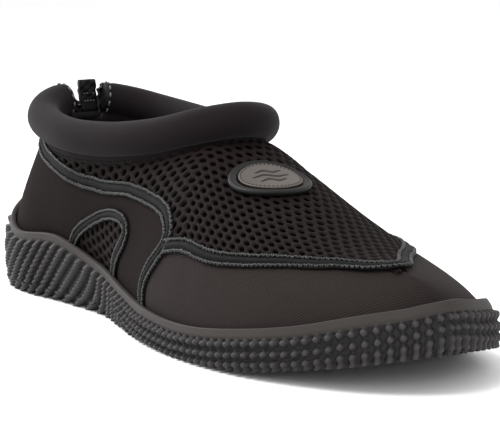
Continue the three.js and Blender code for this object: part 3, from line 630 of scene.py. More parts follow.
def outsole():
    half, mid, levels = 560, 24, 96
    turns = even_turns(half)
    count = len(turns)
    edge = wall_point(turns, floor_at(turns), RAND_WALL + 1)
    run = run_of(edge)
    back = np.linalg.norm(edge[0] - edge[-1]) + run[-1] - run
    along = np.where(np.arange(count) <= half, run, back)
    length = run[half]
    ground, rand = ground_at(turns), rand_at(turns)
    # Columns of studs: how far each leans and how wide it is change along the sole.
    share = np.linspace(0, 1, levels)[:, None]
    z = ground + share * (rand - ground)
    from_top, from_ground = rand - z, z - ground
    forward = smooth(0.36, 0.50, along / length) * np.ones_like(z)
    slant = np.interp(along / length, *STUD_LEAN)
    across_at = along + slant * (from_top - 8)
    steps = np.arange(-60, length + 60, 0.5)
    pitches = np.interp(steps / length, *COLUMN_PITCHES) * STUD_PITCH
    phase = np.interp(across_at, steps, np.cumsum(0.5 / pitches))
    x = np.abs((phase % 1) - 0.5)
    row = np.floor(phase)
    jitter = np.sin(row * 12.9898) * 43758.5453
    jitter = jitter - np.floor(jitter) - 0.5
    pitch = BEAD_PITCH * (1 - forward) + TOE_BEAD_PITCH * forward
    beads = 0.5 + 0.5 * np.cos(2 * math.pi * ((from_top - RAND_BAND - 1.5) / pitch + 0.12 * jitter))
    dots = forward * smooth(13.5, 8.5, from_top)
    width = 0.35 * (0.80 + 0.20 * beads) * (1 - dots) + 0.38 * (0.45 + 0.55 * beads) * dots
    ridge = np.clip(1 - (x / width) ** 2.4, 0, 1) ** 0.55
    bead = (0.60 + 0.40 * beads) * (1 - dots) + (0.10 + 0.90 * beads**0.8) * dots
    mask = smooth(RAND_BAND - 0.4, RAND_BAND + 0.9, from_top) * smooth(-3.0, 0.4, from_ground)
    height = STUD_HEIGHT * (1 - 0.35 * smooth(0.8, 1.0, along / length)) * (1 + 0.1 * jitter)
    turned_in = SOLE_EDGE_BEVEL - STUD_HEIGHT
    base = RAND_WALL - turned_in * (1 - smooth(0, 4.5, from_ground)) ** 1.3
    band = 0.25 * smooth(RAND_BAND, RAND_BAND - 1, from_top)
    relief = mask * ridge * bead
    out = base + band + np.minimum(height, STUD_HEIGHT) * relief - 0.7 * mask * (1 - ridge)
    near_toe = smooth(11.0, 11.7, station_of(turns))[None, :, None]

    def rings(level, reach):
        """Wall points at levels, with the folds at the toe's tip eased out."""
        level, reach = np.atleast_2d(level), np.atleast_2d(reach)
        round_turns = np.broadcast_to(turns, level.shape)
        foot = wall_point(round_turns, level, 0 * level)
        away = wall_point(round_turns, level, 1 + 0 * level) - foot
        for _ in range(90):
            foot = foot + 0.5 * near_toe * ((np.roll(foot, 1, 1) + np.roll(foot, -1, 1)) / 2 - foot)
            away = away + 0.5 * near_toe * ((np.roll(away, 1, 1) + np.roll(away, -1, 1)) / 2 - away)
        return foot + unit(away) * reach[..., None]

    wall = rings(z, out)
    wall[..., 2] += 0.9 * (1 - relief) * smooth(2.6, 0, from_ground)
    rim = [
        rings(rand + rise, reach + 0 * rand)[0]
        for rise, reach in ((0.25, RAND_WALL - 0.35), (0.2, RAND_WALL - 1.2), (-0.2, 0.35))
    ]
    rim += [
        rings(0.5 * (rand + floor_at(turns)), 0.3 + 0 * rand)[0],
        rings(floor_at(turns) - 0.3, 0.3 + 0 * rand)[0],
    ]
    verts = np.vstack([wall.reshape(-1, 3)] + rim)
    rows = levels + len(rim)
    walls = grid_faces(rows, count, wrap=True).tolist()
    def tread(p):
        inset = np.minimum(1, np.arange(1, mid) / 3) * np.minimum(1, np.arange(mid - 1, 0, -1) / 3)
        wave = ((p[..., 0] + 0.45 * np.abs(p[..., 1])) / 8.0) % 1
        groove = smooth(0.16, 0.10, np.abs(wave - 0.5))
        cross = smooth(0.10, 0.05, np.abs(((p[..., 1] / 14.0) % 1) - 0.5))
        return 1.1 * np.maximum(groove, 0.8 * cross) * inset

    verts, tread_faces = web(verts, 0, half, mid, lift=tread)
    verts, floor_faces = web(verts, (rows - 1) * count, half, mid, flip=True)
    level_of = np.repeat(np.arange(rows - 1), count)
    top_of = np.vstack([from_top, np.zeros((len(rim), count))])[:-1].reshape(-1)
    slots = np.where((top_of < RAND_BAND + 0.3) | (level_of >= levels - 1), 0, 1).tolist()
    slots += [2] * len(tread_faces) + [0] * len(floor_faces)
    # The stud relief is stored as the cloth attribute's z; the studs' material paints shade where it is low.
    stored = np.ones((len(verts), 3))
    stored[: levels * count, 2] = relief.reshape(-1)
    faces = walls + tread_faces + floor_faces
    return make("outsole_moulding", verts, faces, [BAND, STUDS, TREAD], stored, slots)


# ------------------------------------------------------------------ upper panels
def line_between(a, b, count=80):
    return np.linspace(a, b, count)


JUNCTION_POINT = seam_part(QUARTER_SEAM, 1, JUNCTION, JUNCTION)[0]
TOE_LINE = seam_part([JUNCTION_POINT.tolist()] + TOE_SEAM, 60)
LOW_SEAM = seam_part(QUARTER_SEAM, 30, 0, JUNCTION)
HIGH_SEAM = seam_part(QUARTER_SEAM, 50, JUNCTION, 1)
ARCH_LINE = seam_part(WINDOW_ARCH, 60)
QUARTER = [
    line_between([0, 0], [5.67, 0]), np.vstack([LOW_SEAM, HIGH_SEAM[1:]]), line_between([1.7, 1], [0, 1]),
    line_between([0, 1], [0, 0]),
]
VAMP = [HIGH_SEAM, line_between([1.7, 1], [7, 1]), line_between([7, 1], [11.25, 1]), TOE_LINE[::-1]]
TOE_PART = [
    LOW_SEAM, TOE_LINE, line_between([11.25, 1], [12, 1]), line_between([12, 1], [12, 0]),
    line_between([12, 0], [5.67, 0]),
]
WINDOW = [ARCH_LINE, line_between([4.4, 0], [3.3, 0])]


def seam_points(*lines):
    """The seam lines of both sides, in space."""
    return [surface(side_turn(side, line[:, 0]), line[:, 1]) for line in lines for side in (MEDIAL, LATERAL)]


ALL_SEAMS = seam_points(LOW_SEAM, HIGH_SEAM, TOE_LINE, ARCH_LINE)


def sewn(t, v, lift, depth=0.6):
    """The cloth's outer face, drawn down along its seams."""
    at = surface(t, v)
    near = np.min([distance(at, line) for line in ALL_SEAMS], axis=0)
    return lifted(t, v, lift - depth * np.exp(-((near / SEAM_REACH) ** 2)))


def eased(points, faces, amount, rounds=80):
    """Points drawn towards their neighbours by an amount each, with the open edges held."""
    edges, rim = edges_of(faces)
    amount = amount.copy()
    amount[[k for edge in rim for k in edge]] = 0
    degree = np.bincount(edges[:, 0], minlength=len(points))[:, None]
    for _ in range(rounds):
        total = np.zeros_like(points)
        np.add.at(total, edges[:, 0], points[edges[:, 1]])
        points = points + 0.5 * amount[:, None] * (total / np.maximum(degree, 1) - points)
    return points


def panel(name, lines, sides, lift, thickness, slots, toe=False, **more):
    t, v, faces = both_sides(lines, sides, **more)
    outer, out = sewn(t, v, lift), normal(t, v)
    cloth = cloth_xy(t, v)
    if toe:
        amount = smooth(9.0, 11.0, station_of(t)) * smooth(0.05, 0.4, v)
        outer, out = eased(outer, faces, amount), unit(eased(out, faces, amount))
        cloth = np.stack([outer[:, 0], 1.25 * outer[:, 2] - 0.35 * np.abs(outer[:, 1]), 0 * v], -1)
    verts, all_faces = thick_sheet(outer, out, thickness, faces)
    piece = make(name, verts, all_faces, slots, np.vstack([cloth, cloth]))
    return piece, area_of(outer, faces) * MM * MM, np.ptp(cloth[:, 0]) * MM


def ride(piece, node, body="shoe"):
    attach(piece, body)
    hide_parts(*([node] if isinstance(node, str) else node))
    return piece


def sheet_panel(name, node, slot, *shape, **more):
    """A panel that stands for a node."""
    piece, area, length = panel(name, *shape, **more)
    ride(piece, node)


def cross_plan(a, b):
    return a[:, 0] * b[:, 1] - a[:, 1] * b[:, 0]


def hex_net(name, side_list, keep, span, lift):
    """A knitted net with real holes, laid out flat from the ridge and wrapped on the last."""
    s_grid = np.linspace(0.8, TOE, 240)
    v_grid = np.linspace(0, 1, 121)
    s_mesh, v_mesh = np.meshgrid(s_grid, v_grid, indexing="ij")
    tables = {}
    for side in side_list:
        points = surface(side_turn(side, s_mesh), v_mesh)
        step = np.linalg.norm(np.diff(points, axis=1), axis=2)
        down = np.concatenate([np.cumsum(step[:, ::-1], axis=1)[:, ::-1], np.zeros((len(s_grid), 1))], 1)
        start = np.where(s_grid < THROAT, np.abs(points[:, -1, 1]), 0)
        tables[side] = np.stack([points[..., 0], down + start[:, None]], -1)

    def sample(table, s, v):
        i = np.clip((s - s_grid[0]) / (s_grid[1] - s_grid[0]), 0, len(s_grid) - 1.001)
        j = np.clip(v / (v_grid[1] - v_grid[0]), 0, len(v_grid) - 1.001)
        a, b = i.astype(int), j.astype(int)
        f, g = (i - a)[:, None], (j - b)[:, None]
        return (
            table[a, b] * (1 - f) * (1 - g) + table[a + 1, b] * f * (1 - g)
            + table[a, b + 1] * (1 - f) * g + table[a + 1, b + 1] * f * g
        )

    def solve(flat, side):
        table = tables[side]
        s = np.interp(flat[:, 0], table[:, 80, 0], s_grid)
        v = np.full(len(flat), 0.8)
        for _ in range(NEWTON_ROUNDS):
            here = sample(table, s, v)
            ds = (sample(table, s + 0.02, v) - here) / 0.02
            dv = (sample(table, s, v - 0.01) - here) / -0.01
            det = cross_plan(ds, dv)
            det = np.where(np.abs(det) < 1e-3, 1e-3, det)
            miss = flat - here
            s_step, v_step = cross_plan(miss, dv) / det, cross_plan(ds, miss) / det
            s = np.clip(s + np.clip(s_step, -0.8, 0.8), s_grid[0], TOE - 0.01)
            v = np.clip(v + np.clip(v_step, -0.2, 0.2), 0, 1)
        return s, v, np.linalg.norm(sample(table, s, v) - flat, axis=1)

    (x0, x1), (b0, b1) = span
    column_step = HOLE_PITCH * 0.98
    centres = []
    for k, x in enumerate(np.arange(x0, x1, column_step)):
        rows = np.arange(b0, b1, HOLE_PITCH) + (k % 2) * HOLE_PITCH / 2
        centres.append(np.stack([np.full_like(rows, x), rows], 1))
    centres = np.vstack(centres)

    def place(flat):
        s, v, t, miss = np.zeros((4, len(flat)))
        for side in side_list:
            mine = (flat[:, 1] * side >= 0) if len(side_list) == 2 else np.ones(len(flat), bool)
            if mine.any():
                target = np.stack([flat[mine, 0], np.abs(flat[mine, 1])], 1)
                s[mine], v[mine], miss[mine] = solve(target, side)
                t[mine] = side_turn(side, s[mine])
        return s, v, t, miss

    s, v, t, miss = place(centres)
    good = (miss < 0.6) & keep(s, v)
    centres = centres[good]
    corner = []
    for k in range(12):
        angle = math.radians(30 * k)
        reach = 0.5 / math.cos(math.radians(((30 * k + 30) % 60) - 30))
        corner.append([reach * math.sin(angle), reach * math.cos(angle)])
    corner = np.array(corner) * [column_step * 1.155, HOLE_PITCH]
    rings, lifts = [], []
    rim = np.array([[math.sin(math.radians(30 * k)), math.cos(math.radians(30 * k))] for k in range(12)])
    for share, radius, ring_lift in ((1.0, 1.0, 0.30), (0.45, 1.0, 0.24), (0.0, 1.0, 0.0), (0.0, 0.94, -0.5)):
        hole = rim * [1.55, 1.4] * radius
        rings.append(corner * share + hole * (1 - share))
        lifts.append(np.full(12, ring_lift))
    jit = RNG.uniform(-0.12, 0.12, (len(centres), 1, 2))
    flat = np.concatenate(
        [centres[:, None] + r + (0 if n == 0 else 1) * jit for n, r in enumerate(rings)], axis=1
    ).reshape(-1, 2)
    s, v, t, miss = place(flat)
    level = np.tile(np.concatenate(lifts), len(centres))
    at = surface(t, v)
    near = np.min([distance(at, line) for line in ALL_SEAMS], axis=0)
    verts = lifted(t, v, lift + level - 0.5 * np.exp(-((near / SEAM_REACH) ** 2)))
    body = grid_faces(4, 12, wrap=True)
    faces = (body[None] + (np.arange(len(centres)) * 48)[:, None, None]).reshape(-1, 4)
    cloth = np.stack([flat[:, 0], flat[:, 1], 0 * flat[:, 0]], 1)
    _, first, back = np.unique(np.round(verts / 0.04), axis=0, return_index=True, return_inverse=True)
    return make(name, verts[first], back.reshape(-1)[faces], [NET], cloth[first])


def in_vamp(s, v):
    outline = to_plane(np.vstack([VAMP[0]] + [line[1:] for line in VAMP[1:]]))
    points = to_plane(np.stack([s, v], 1))
    at_ridge = (v > 0.985) & (s < 11.25) & (s > 7)
    return inside(points, outline) | at_ridge | (distance(points, outline, True) < 1.2) & (v < 0.999)


def in_window(s, v):
    outline = to_plane(ARCH_LINE)
    points = to_plane(np.stack([s, v], 1))
    return inside(points, outline) | (distance(points, outline, True) < 1.0)


# ------------------------------------------------------------------ seam tapes with their stitches
def path_of(lines, smooth_mm=0.0, apex=False):
    """Points and normals at even steps along a line of (turn, v) arrays."""
    t = np.concatenate([line[0] for line in lines])
    v = np.concatenate([line[1] for line in lines])
    at, out = surface(t, v), normal(t, v)
    run = run_of(at)
    keep = np.concatenate([[True], np.diff(run) > 1e-6])
    at, out, run = at[keep], out[keep], run[keep]
    steps = np.linspace(0, run[-1], int(run[-1] / PATH_STEP) + 1)
    at = along_run(steps, run, at)
    out = unit(along_run(steps, run, out))
    if smooth_mm:
        for _ in range(int(smooth_mm * smooth_mm)):
            at[1:-1] = (at[:-2] + 2 * at[1:-1] + at[2:]) / 4
            out = unit(np.vstack([out[:1], (out[:-2] + 2 * out[1:-1] + out[2:]) / 4, out[-1:]]))
    if apex:
        middle = len(at) // 2
        near = smooth(34, 14, np.abs(np.arange(len(at)) - middle))[:, None]
        for _ in range(120):
            at[1:-1] += 0.5 * near[1:-1] * ((at[:-2] + at[2:]) / 2 - at[1:-1])
        picked = np.arange(middle - 24, middle + 25)
        t, v = under_plan(at[picked, :2])
        share = near[picked]
        at[picked] = at[picked] * (1 - share) + surface(t, v) * share
        out[picked] = unit(out[picked] * (1 - share) + normal(t, v) * share)
        for _ in range(30):
            out[1:-1] += 0.5 * near[1:-1] * ((out[:-2] + out[2:]) / 2 - out[1:-1])
        out = unit(out)
    return at, out


PROFILE = np.array(
    [
        [-1.00, -0.35], [-1.00, 0.30], [-0.93, 0.52], [-0.78, 0.62], [-0.60, 0.50], [-0.45, 0.62],
        [-0.30, 0.95], [-0.14, 1.12], [0.0, 1.17], [0.14, 1.12], [0.30, 0.95], [0.45, 0.62],
        [0.60, 0.50], [0.78, 0.62], [0.93, 0.52], [1.00, 0.30], [1.00, -0.35],
    ]
)


def tape(name, lines, width, node, seed, smooth_mm=0.0, rough_edge=0.06, lift=0.0, apex=False):
    at, out = path_of(lines, smooth_mm, apex)
    along = unit(np.gradient(at, axis=0))
    across = unit(np.cross(out, along))
    count = len(at)
    left, right = (1 + rough_edge * wobble(count, 3.0, seed + k, PATH_STEP) for k in (0, 1))
    drift = 0.25 * wobble(count, 9.0, seed + 2, PATH_STEP)
    half = width / 2
    side = np.where(PROFILE[:, 0] < 0, left[:, None], right[:, None])
    offset = PROFILE[None, :, 0] * half * side + drift[:, None]
    height = PROFILE[None, :, 1] * (1 + 0.08 * wobble(count, 4.0, seed + 3, PATH_STEP))[:, None] + lift
    verts = at[:, None] + across[:, None] * offset[..., None] + out[:, None] * height[..., None]
    profile_count = len(PROFILE)
    faces = tube_faces(count, profile_count, flip=True)
    run = np.arange(count) * PATH_STEP
    cloth = np.stack([np.broadcast_to(run[:, None], offset.shape), offset, 0 * offset], -1)
    parts = [(verts, faces, 0, cloth)]
    rng = np.random.default_rng(seed + 9)
    for row in (-1, 1):
        marks = np.arange(0.6, run[-1] - 0.6, 0.95)
        zig = np.where(np.arange(len(marks)) % 2 == 0, 0.55, 1.0) + rng.uniform(-0.07, 0.07, len(marks))
        marks = np.sort(marks + rng.uniform(-0.1, 0.1, len(marks)))

        def spot(s, reach, high):
            centre = along_run(s, run, at)
            sideways = along_run(s, run, across)
            up = along_run(s, run, out)
            shift = row * reach * half + np.interp(s, run, drift)
            return centre + sideways * shift[:, None] + up * high[:, None], up

        high = 0.50 + lift + rng.uniform(-0.08, 0.10, len(marks))
        points, ups = spot(marks, zig, high)
        verts, faces = threads(points[:-1], points[1:], ups[:-1], 0.46, 0.3)
        parts.append((verts, faces, 1, None))
    verts, faces, slots, cloth = joined(parts)
    return ride(make(name, verts, faces, [TAPE, THREAD], cloth, slots), node)


def side_lines(line, side):
    return [(side_turn(side, line[:, 0]), line[:, 1])]


# ------------------------------------------------------------------ collar
def collar_path(step):
    share = np.linspace(0, 1, 1601)
    centre = catmull(COLLAR, share) + UP * (COLLAR_RADIUS + CLEARANCE)
    run = run_of(centre)
    first, last = COLLAR_SPLIT / 2 - SPLIT_MIDDLE, run[-1] - COLLAR_SPLIT / 2 - SPLIT_MIDDLE
    at = np.linspace(first, last, int((last - first) / step) + 1)
    centre = along_run(at, run, centre)
    along = unit(np.gradient(centre, axis=0))
    across = unit(np.cross(along, UP))
    return centre, along, across, np.cross(across, along), at


def collar():
    centre, along, across, over, run = collar_path(COLLAR_STEP)
    count, sides = len(centre), 40
    angle = np.linspace(0, 2 * math.pi, sides, endpoint=False)
    end = np.minimum(run - run[0], run[-1] - run)
    round_end = np.maximum(np.sqrt(np.clip(1 - np.clip(1 - end / 2.2, 0, 1) ** 2.2, 0, 1)), 0.35)
    pinch = 0.05 * np.exp(-(((end - BINDING_WIDTH) / 1.1) ** 2))
    swell = 1 - 0.028 * (1 + wobble(count, 22.0, 3, COLLAR_STEP)) / 2
    flat = 1 - 0.05 * np.clip(-np.sin(angle), 0, 1) ** 2 - 0.035 * np.clip(np.cos(2 * angle), 0, 1)
    lumps = 0.010 * np.sin(2 * angle[None] + run[:, None] / 11.0) * np.sin(run[:, None] / 7.0)
    radius = COLLAR_RADIUS * swell[:, None] * (flat[None] + lumps - pinch[:, None]) * round_end[:, None]
    verts = (
        centre[:, None]
        + across[:, None] * (radius * np.cos(angle))[..., None]
        + over[:, None] * (radius * np.sin(angle))[..., None]
    )
    faces = tube_faces(count, sides, flip=True)
    cloth = np.stack(np.broadcast_arrays(run[:, None], angle * COLLAR_RADIUS, 0 * radius), -1)
    bound = [0 if run[face[0] // sides] < run[-1] - 2.5 else 2 for face in faces]
    parts = [(verts, [f for f, slot in zip(faces, bound) if slot == kind], kind, cloth) for kind in (0, 2)]
    reach = COLLAR_RADIUS * 0.965
    bound = int(BINDING_WIDTH / COLLAR_STEP)
    for ring in (bound, count - 1 - bound):
        starts, ends, ups = [], [], []
        for k in range(12):
            for share, bag in ((0.15, starts), (0.78, ends)):
                a = 2 * math.pi * (k + share) / 12
                bag.append(centre[ring] + across[ring] * reach * math.cos(a) + over[ring] * reach * math.sin(a))
            a = 2 * math.pi * (k + 0.15) / 12
            ups.append(across[ring] * math.cos(a) + over[ring] * math.sin(a))
        verts, faces = threads(starts, ends, ups, 0.42, 0.3)
        parts.append((verts, faces, 1, None))
    parts += collar_skirt(run[0], run[-1])
    verts, faces, slots, cloth = joined(parts)
    return make("collar_roll", verts, faces, [COLLAR_CLOTH, GLINT_STITCH, WEBBING], cloth, slots)


def split_webbing():
    """Crumpled webbing that binds the roll's ends, on both sides of the tab."""
    parts, foot = [], 69.2
    heel = STATIONS["topX"][0]
    ends = (SPLIT_MIDDLE - COLLAR_SPLIT / 2 - 2.0, TAB_MIDDLE - TAB_WIDTH / 2 - 0.5)
    far = (TAB_MIDDLE + TAB_WIDTH / 2 + 0.4, SPLIT_MIDDLE + COLLAR_SPLIT / 2 + 2.0)
    for (low_y, high_y), top_low, top_high in ((ends, 80.5, 75.0), (far, 80.0, 82.5)):
        u, w = np.meshgrid(np.linspace(0, 1, 16), np.linspace(0, 1, 18), indexing="ij")
        y = low_y + (high_y - low_y) * u
        z = foot + (top_low + (top_high - top_low) * u - foot) * w
        fold = 0.55 * np.sin(1.9 * z + 1.3 * y) + 0.35 * np.sin(3.1 * y - 1.1 * z)
        x = heel + 0.4 + fold * smooth(0, 0.3, w)
        front, rear = (np.stack([x + half_thick, y, z], -1) for half_thick in (0.9, -0.9))
        size = u.size
        faces = grid_faces(*u.shape).tolist() + grid_faces(*u.shape, flip=True, start=size).tolist()
        index = np.arange(size).reshape(u.shape)
        border = [*index[:, 0], *index[-1, 1:], *index[::-1, -1][1:], *index[0, ::-1][1:-1]]
        for a, b in zip(border, border[1:] + border[:1]):
            faces.append([b, a, a + size, b + size])
        verts = np.vstack([front.reshape(-1, 3), rear.reshape(-1, 3)])
        parts.append((verts, faces, 2, upright_cloth(verts)))
        y = np.linspace(low_y + 0.5, high_y - 0.5, 6)
        row = np.stack([np.full_like(y, heel + 1.75), y, 72.8 + 0.25 * (y - low_y)], 1)
        stitch_verts, stitch_faces = threads(row[:-1:2], row[1::2], np.tile([1.0, 0, 0], (3, 1)), 0.3, 0.2)
        parts.append((stitch_verts, stitch_faces, 1, None))
    flap_y = np.linspace(SPLIT_MIDDLE - COLLAR_SPLIT / 2 - 0.5, SPLIT_MIDDLE + COLLAR_SPLIT / 2 + 0.5, 12)
    outline = [(1.8, 66.5), (2.7, 66.5), (2.7, 70.9), (2.4, 71.2), (2.1, 71.2), (1.8, 70.9)]
    verts = np.array([[[heel + dx, y, z] for dx, z in outline] for y in flap_y])
    faces = tube_faces(len(flap_y), len(outline), flip=True)
    parts.append((verts, faces, 2, verts))
    return parts


def collar_skirt(first, last):
    """The roll's seam allowance, which wraps the upper's top edge, and the webbing in the split."""
    share = np.linspace(0, 1, 361)[:-1]
    top = catmull(COLLAR, share)
    run = run_of(top)
    turns = np.where(share <= 0.5, share, share - 1) * 2 * THROAT / LAPS % 1
    under = smooth(first - 0.5, first + 1.5, run) * smooth(last + 0.5, last - 1.5, run)
    along = unit(np.roll(top, -1, 0) - np.roll(top, 1, 0))
    side = unit(np.cross(along, UP))
    rise = 0.35 + (CLEARANCE + 0.3 * COLLAR_RADIUS) * under
    low, inside_low = 0.965, 0.945
    rows = [
        lifted(turns, low, 0.3),
        lifted(turns, 0.985, 0.5),
        top + side * (0.4 + 1.8 * under)[:, None] + UP * rise[:, None],
        top - side * (2.2 + 1.0 * under)[:, None] + UP * rise[:, None],
        lifted(turns, 0.985, -3.0),
        lifted(turns, inside_low, -3.1),
        lifted(turns, inside_low, -1.2),
    ]
    verts = np.array(rows)
    faces = grid_faces(len(rows) + 1, len(share), wrap=True, flip=True) % (len(rows) * len(share))
    in_split = (run < first + 1) | (run > last - 1)
    cloth = np.stack([np.broadcast_to(run, verts.shape[:2]), verts[..., 2] - top[:, 2], 0 * verts[..., 0]], -1)
    mine = in_split[faces[:, 0] % len(share)]
    parts = [(verts, faces[~mine].tolist(), 0, cloth), (verts, faces[mine].tolist(), 2, cloth)]
    parts += split_webbing()
    for height, lift in ((0.972, 0.45), (0.965, -3.15)):
        row = lifted(turns, height, lift)
        out = normal(turns, height) * (1 if lift > 0 else -1)
        picked = np.arange(1, len(share) - 1, 2)
        stitch_verts, stitch_faces = threads(row[picked], row[picked + 1], out[picked], 0.24, 0.16)
        parts.append((stitch_verts, stitch_faces, 2, None))
    return parts


# ------------------------------------------------------------------ heel
def pull_tab():
    pivot = np.array([STATIONS["topX"][0], TAB_MIDDLE, TAB_PIVOT_HEIGHT])
    half = TAB_THICKNESS / 2
    straight = np.linspace(0, TAB_LENGTH - half, 16)
    arc = np.linspace(0, math.pi, 11)
    top = [(half * math.cos(a), TAB_LENGTH - half + half * math.sin(a)) for a in arc]
    foot = [(half * math.cos(a), half * math.sin(a)) for a in np.linspace(math.pi, 2 * math.pi, 9)]
    sides = [(half, z) for z in straight[1:-1]], [(-half, z) for z in straight[::-1][1:-1]]
    outline = np.array(sides[0] + top + sides[1] + foot)
    on_face = np.abs(outline[:, 0]) > half * 0.98
    pull = np.where(on_face, 1 - 0.10 * np.sin(outline[:, 1] / TAB_LENGTH * math.pi), 1)
    outline = outline * np.stack([pull, np.ones(len(outline))], 1)
    lanes = np.linspace(-1, 1, 21)
    verts = []
    for lane in lanes:
        edge = 1 - 0.22 * abs(lane) ** 6
        rib = 0.07 * math.cos(lane * 7 * math.pi)
        ring = outline * [edge, 1]
        ring[:, 0] += np.sign(ring[:, 0]) * rib * (np.abs(ring[:, 0]) > 0.6)
        y = np.full(len(ring), lane * TAB_WIDTH / 2 * 0.985)
        verts.append(np.stack([ring[:, 0], y, ring[:, 1]], 1))
    verts = np.array(verts)
    x, y, z = np.moveaxis(verts, -1, 0)
    crumple = 0.32 * np.sin(z * 1.1 + y * 0.9) + 0.22 * np.sin(z * 2.3 - y * 1.7)
    verts[..., 0] = x + crumple * smooth(1.5, 5.0, z)
    c, s = math.cos(TAB_LEAN), math.sin(TAB_LEAN)
    lean = np.array([[c, 0, -s], [0, 1, 0], [s, 0, c]])
    faces = tube_faces(len(lanes), len(outline), flip=True)
    cloth = upright_cloth(verts)
    starts, ends, ups = [], [], []
    for face_side in (-1, 1):
        for z in (3.2, 6.2):
            for k in range(4):
                y = -2.6 + 1.35 * k
                starts.append([face_side * (half - 0.02), y, z])
                ends.append([face_side * (half - 0.02), y + 0.9, z + 0.15])
                ups.append([face_side, 0, 0])
    stitch_verts, stitch_faces = threads(starts, ends, ups, 0.22, 0.12)
    parts = [(verts, faces, 0, cloth), (stitch_verts, stitch_faces, 1, None)]
    verts, faces, slots, cloth = joined(parts)
    made = make("pull_tab_webbing", verts @ lean.T + pivot, faces, [WEBBING, GLINT_STITCH], cloth, slots)
    return ride(made, "heel_pull_tab", "pull_tab")


def heel_tape():
    v = np.linspace(*HEEL_TAPE_ENDS, 60)
    depth = NEOPRENE + 4 * CLEARANCE
    lanes = np.linspace(-1, 1, 13)
    turns = np.interp(lanes, (-1, 1), HEEL_TAPE_EDGES)
    ribbed = [-depth - 0.9 + 0.25 * abs(lane) ** 4 + 0.06 * math.cos(lane * 6 * math.pi) for lane in lanes]
    rows = [lifted(t, v, lift) for t, lift in zip(turns, ribbed)]
    rows += [lifted(t, v, -depth) for t in turns[::-1]]
    verts = np.array(rows)
    count = len(rows)
    faces = grid_faces(count, len(v)).tolist()
    faces += [[(count - 1) * len(v) + k, (count - 1) * len(v) + k + 1, k + 1, k] for k in range(len(v) - 1)]
    faces.append([k * len(v) for k in range(count)])
    faces.append([k * len(v) + len(v) - 1 for k in range(count)][::-1])
    made = make("heel_inner_tape", verts.reshape(-1, 3), faces, [WEBBING], upright_cloth(verts))
    return ride(made, "heel_seam_tape")


# ------------------------------------------------------------------ footbed
def footbed(name, low, high, mat, node):
    """A plate inside the wall with rounded edges and a dished top."""
    half, mid = 150, 12
    turns = even_turns(half)
    floor = floor_at(turns)
    inset, crown = NEOPRENE + FOOTBED_INSET, 0.3
    soft = min((high - low) * 0.4, 1.2)
    profile = (
        (-inset - 6, low), (-inset - soft, low), (-inset, low + soft), (-inset, high - soft),
        (-inset - 0.3 * soft, high - 0.3 * soft), (-inset - soft, high), (-inset - 3, high - crown * 0.3),
        (-inset - 6, high - crown),
    )
    verts = np.vstack([wall_point(turns, floor + rise, out) for out, rise in profile])
    faces = grid_faces(len(profile), 2 * half, wrap=True).tolist()
    for ring, flip in ((0, False), (len(profile) - 1, True)):
        verts, made = web(verts, ring * 2 * half, half, mid, flip)
        faces += made
    return ride(make(name, verts, faces, [mat], verts * [1, 1, 0]), node)


# ------------------------------------------------------------------ badge
BADGE_CENTRE = np.array([37.0, -5.2])
BADGE_TURN = math.radians(-8)
BADGE_SLOPE = math.cos(math.radians(25))


def under_plan(xy):
    """Turn and v of the last under points in plan, by Newton steps across the ridge."""
    station, v = np.full(len(xy), 8.0), np.full(len(xy), 0.95)

    def at(s, u):
        t = np.where(u <= 1, s / LAPS, 1 - s / LAPS)
        return t, np.where(u <= 1, u, 2 - u)

    for _ in range(NEWTON_ROUNDS):
        here = surface(*at(station, v))
        forward = (surface(*at(station + 0.01, v)) - here) / 0.01
        upward = (surface(*at(station, v + 0.01)) - here) / 0.01
        miss = xy - here[:, :2]
        det = cross_plan(forward, upward)
        station = station + cross_plan(miss, upward) / det
        v = v + cross_plan(forward, miss) / det
    return at(station, v)


def on_badge(along, across, lift):
    """A point of the badge, from shares of its half sizes along and across the instep."""
    along, across, lift = np.broadcast_arrays(along, across, np.asarray(lift, float))
    a = BADGE_WIDTH / 2 * along.ravel() * BADGE_SLOPE
    b = BADGE_LENGTH / 2 * across.ravel()
    c, s = math.cos(BADGE_TURN), math.sin(BADGE_TURN)
    xy = np.stack([a * c - b * s, a * s + b * c], 1) + BADGE_CENTRE
    t, v = under_plan(xy)
    out = normal(t, v)
    return (surface(t, v) + out * lift.ravel()[:, None]).reshape(along.shape + (3,))


def oval(profile, steps=96):
    angle = np.linspace(0, 2 * math.pi, steps, endpoint=False)
    rows = [on_badge(r * np.cos(angle), r * np.sin(angle), lift + 0 * angle) for r, lift in profile]
    return np.vstack(rows), tube_faces(len(rows), steps)


BADGE_LOW, BADGE_TOP, BADGE_HIGH = 0.6, 1.9, 2.8
RIM = 0.795


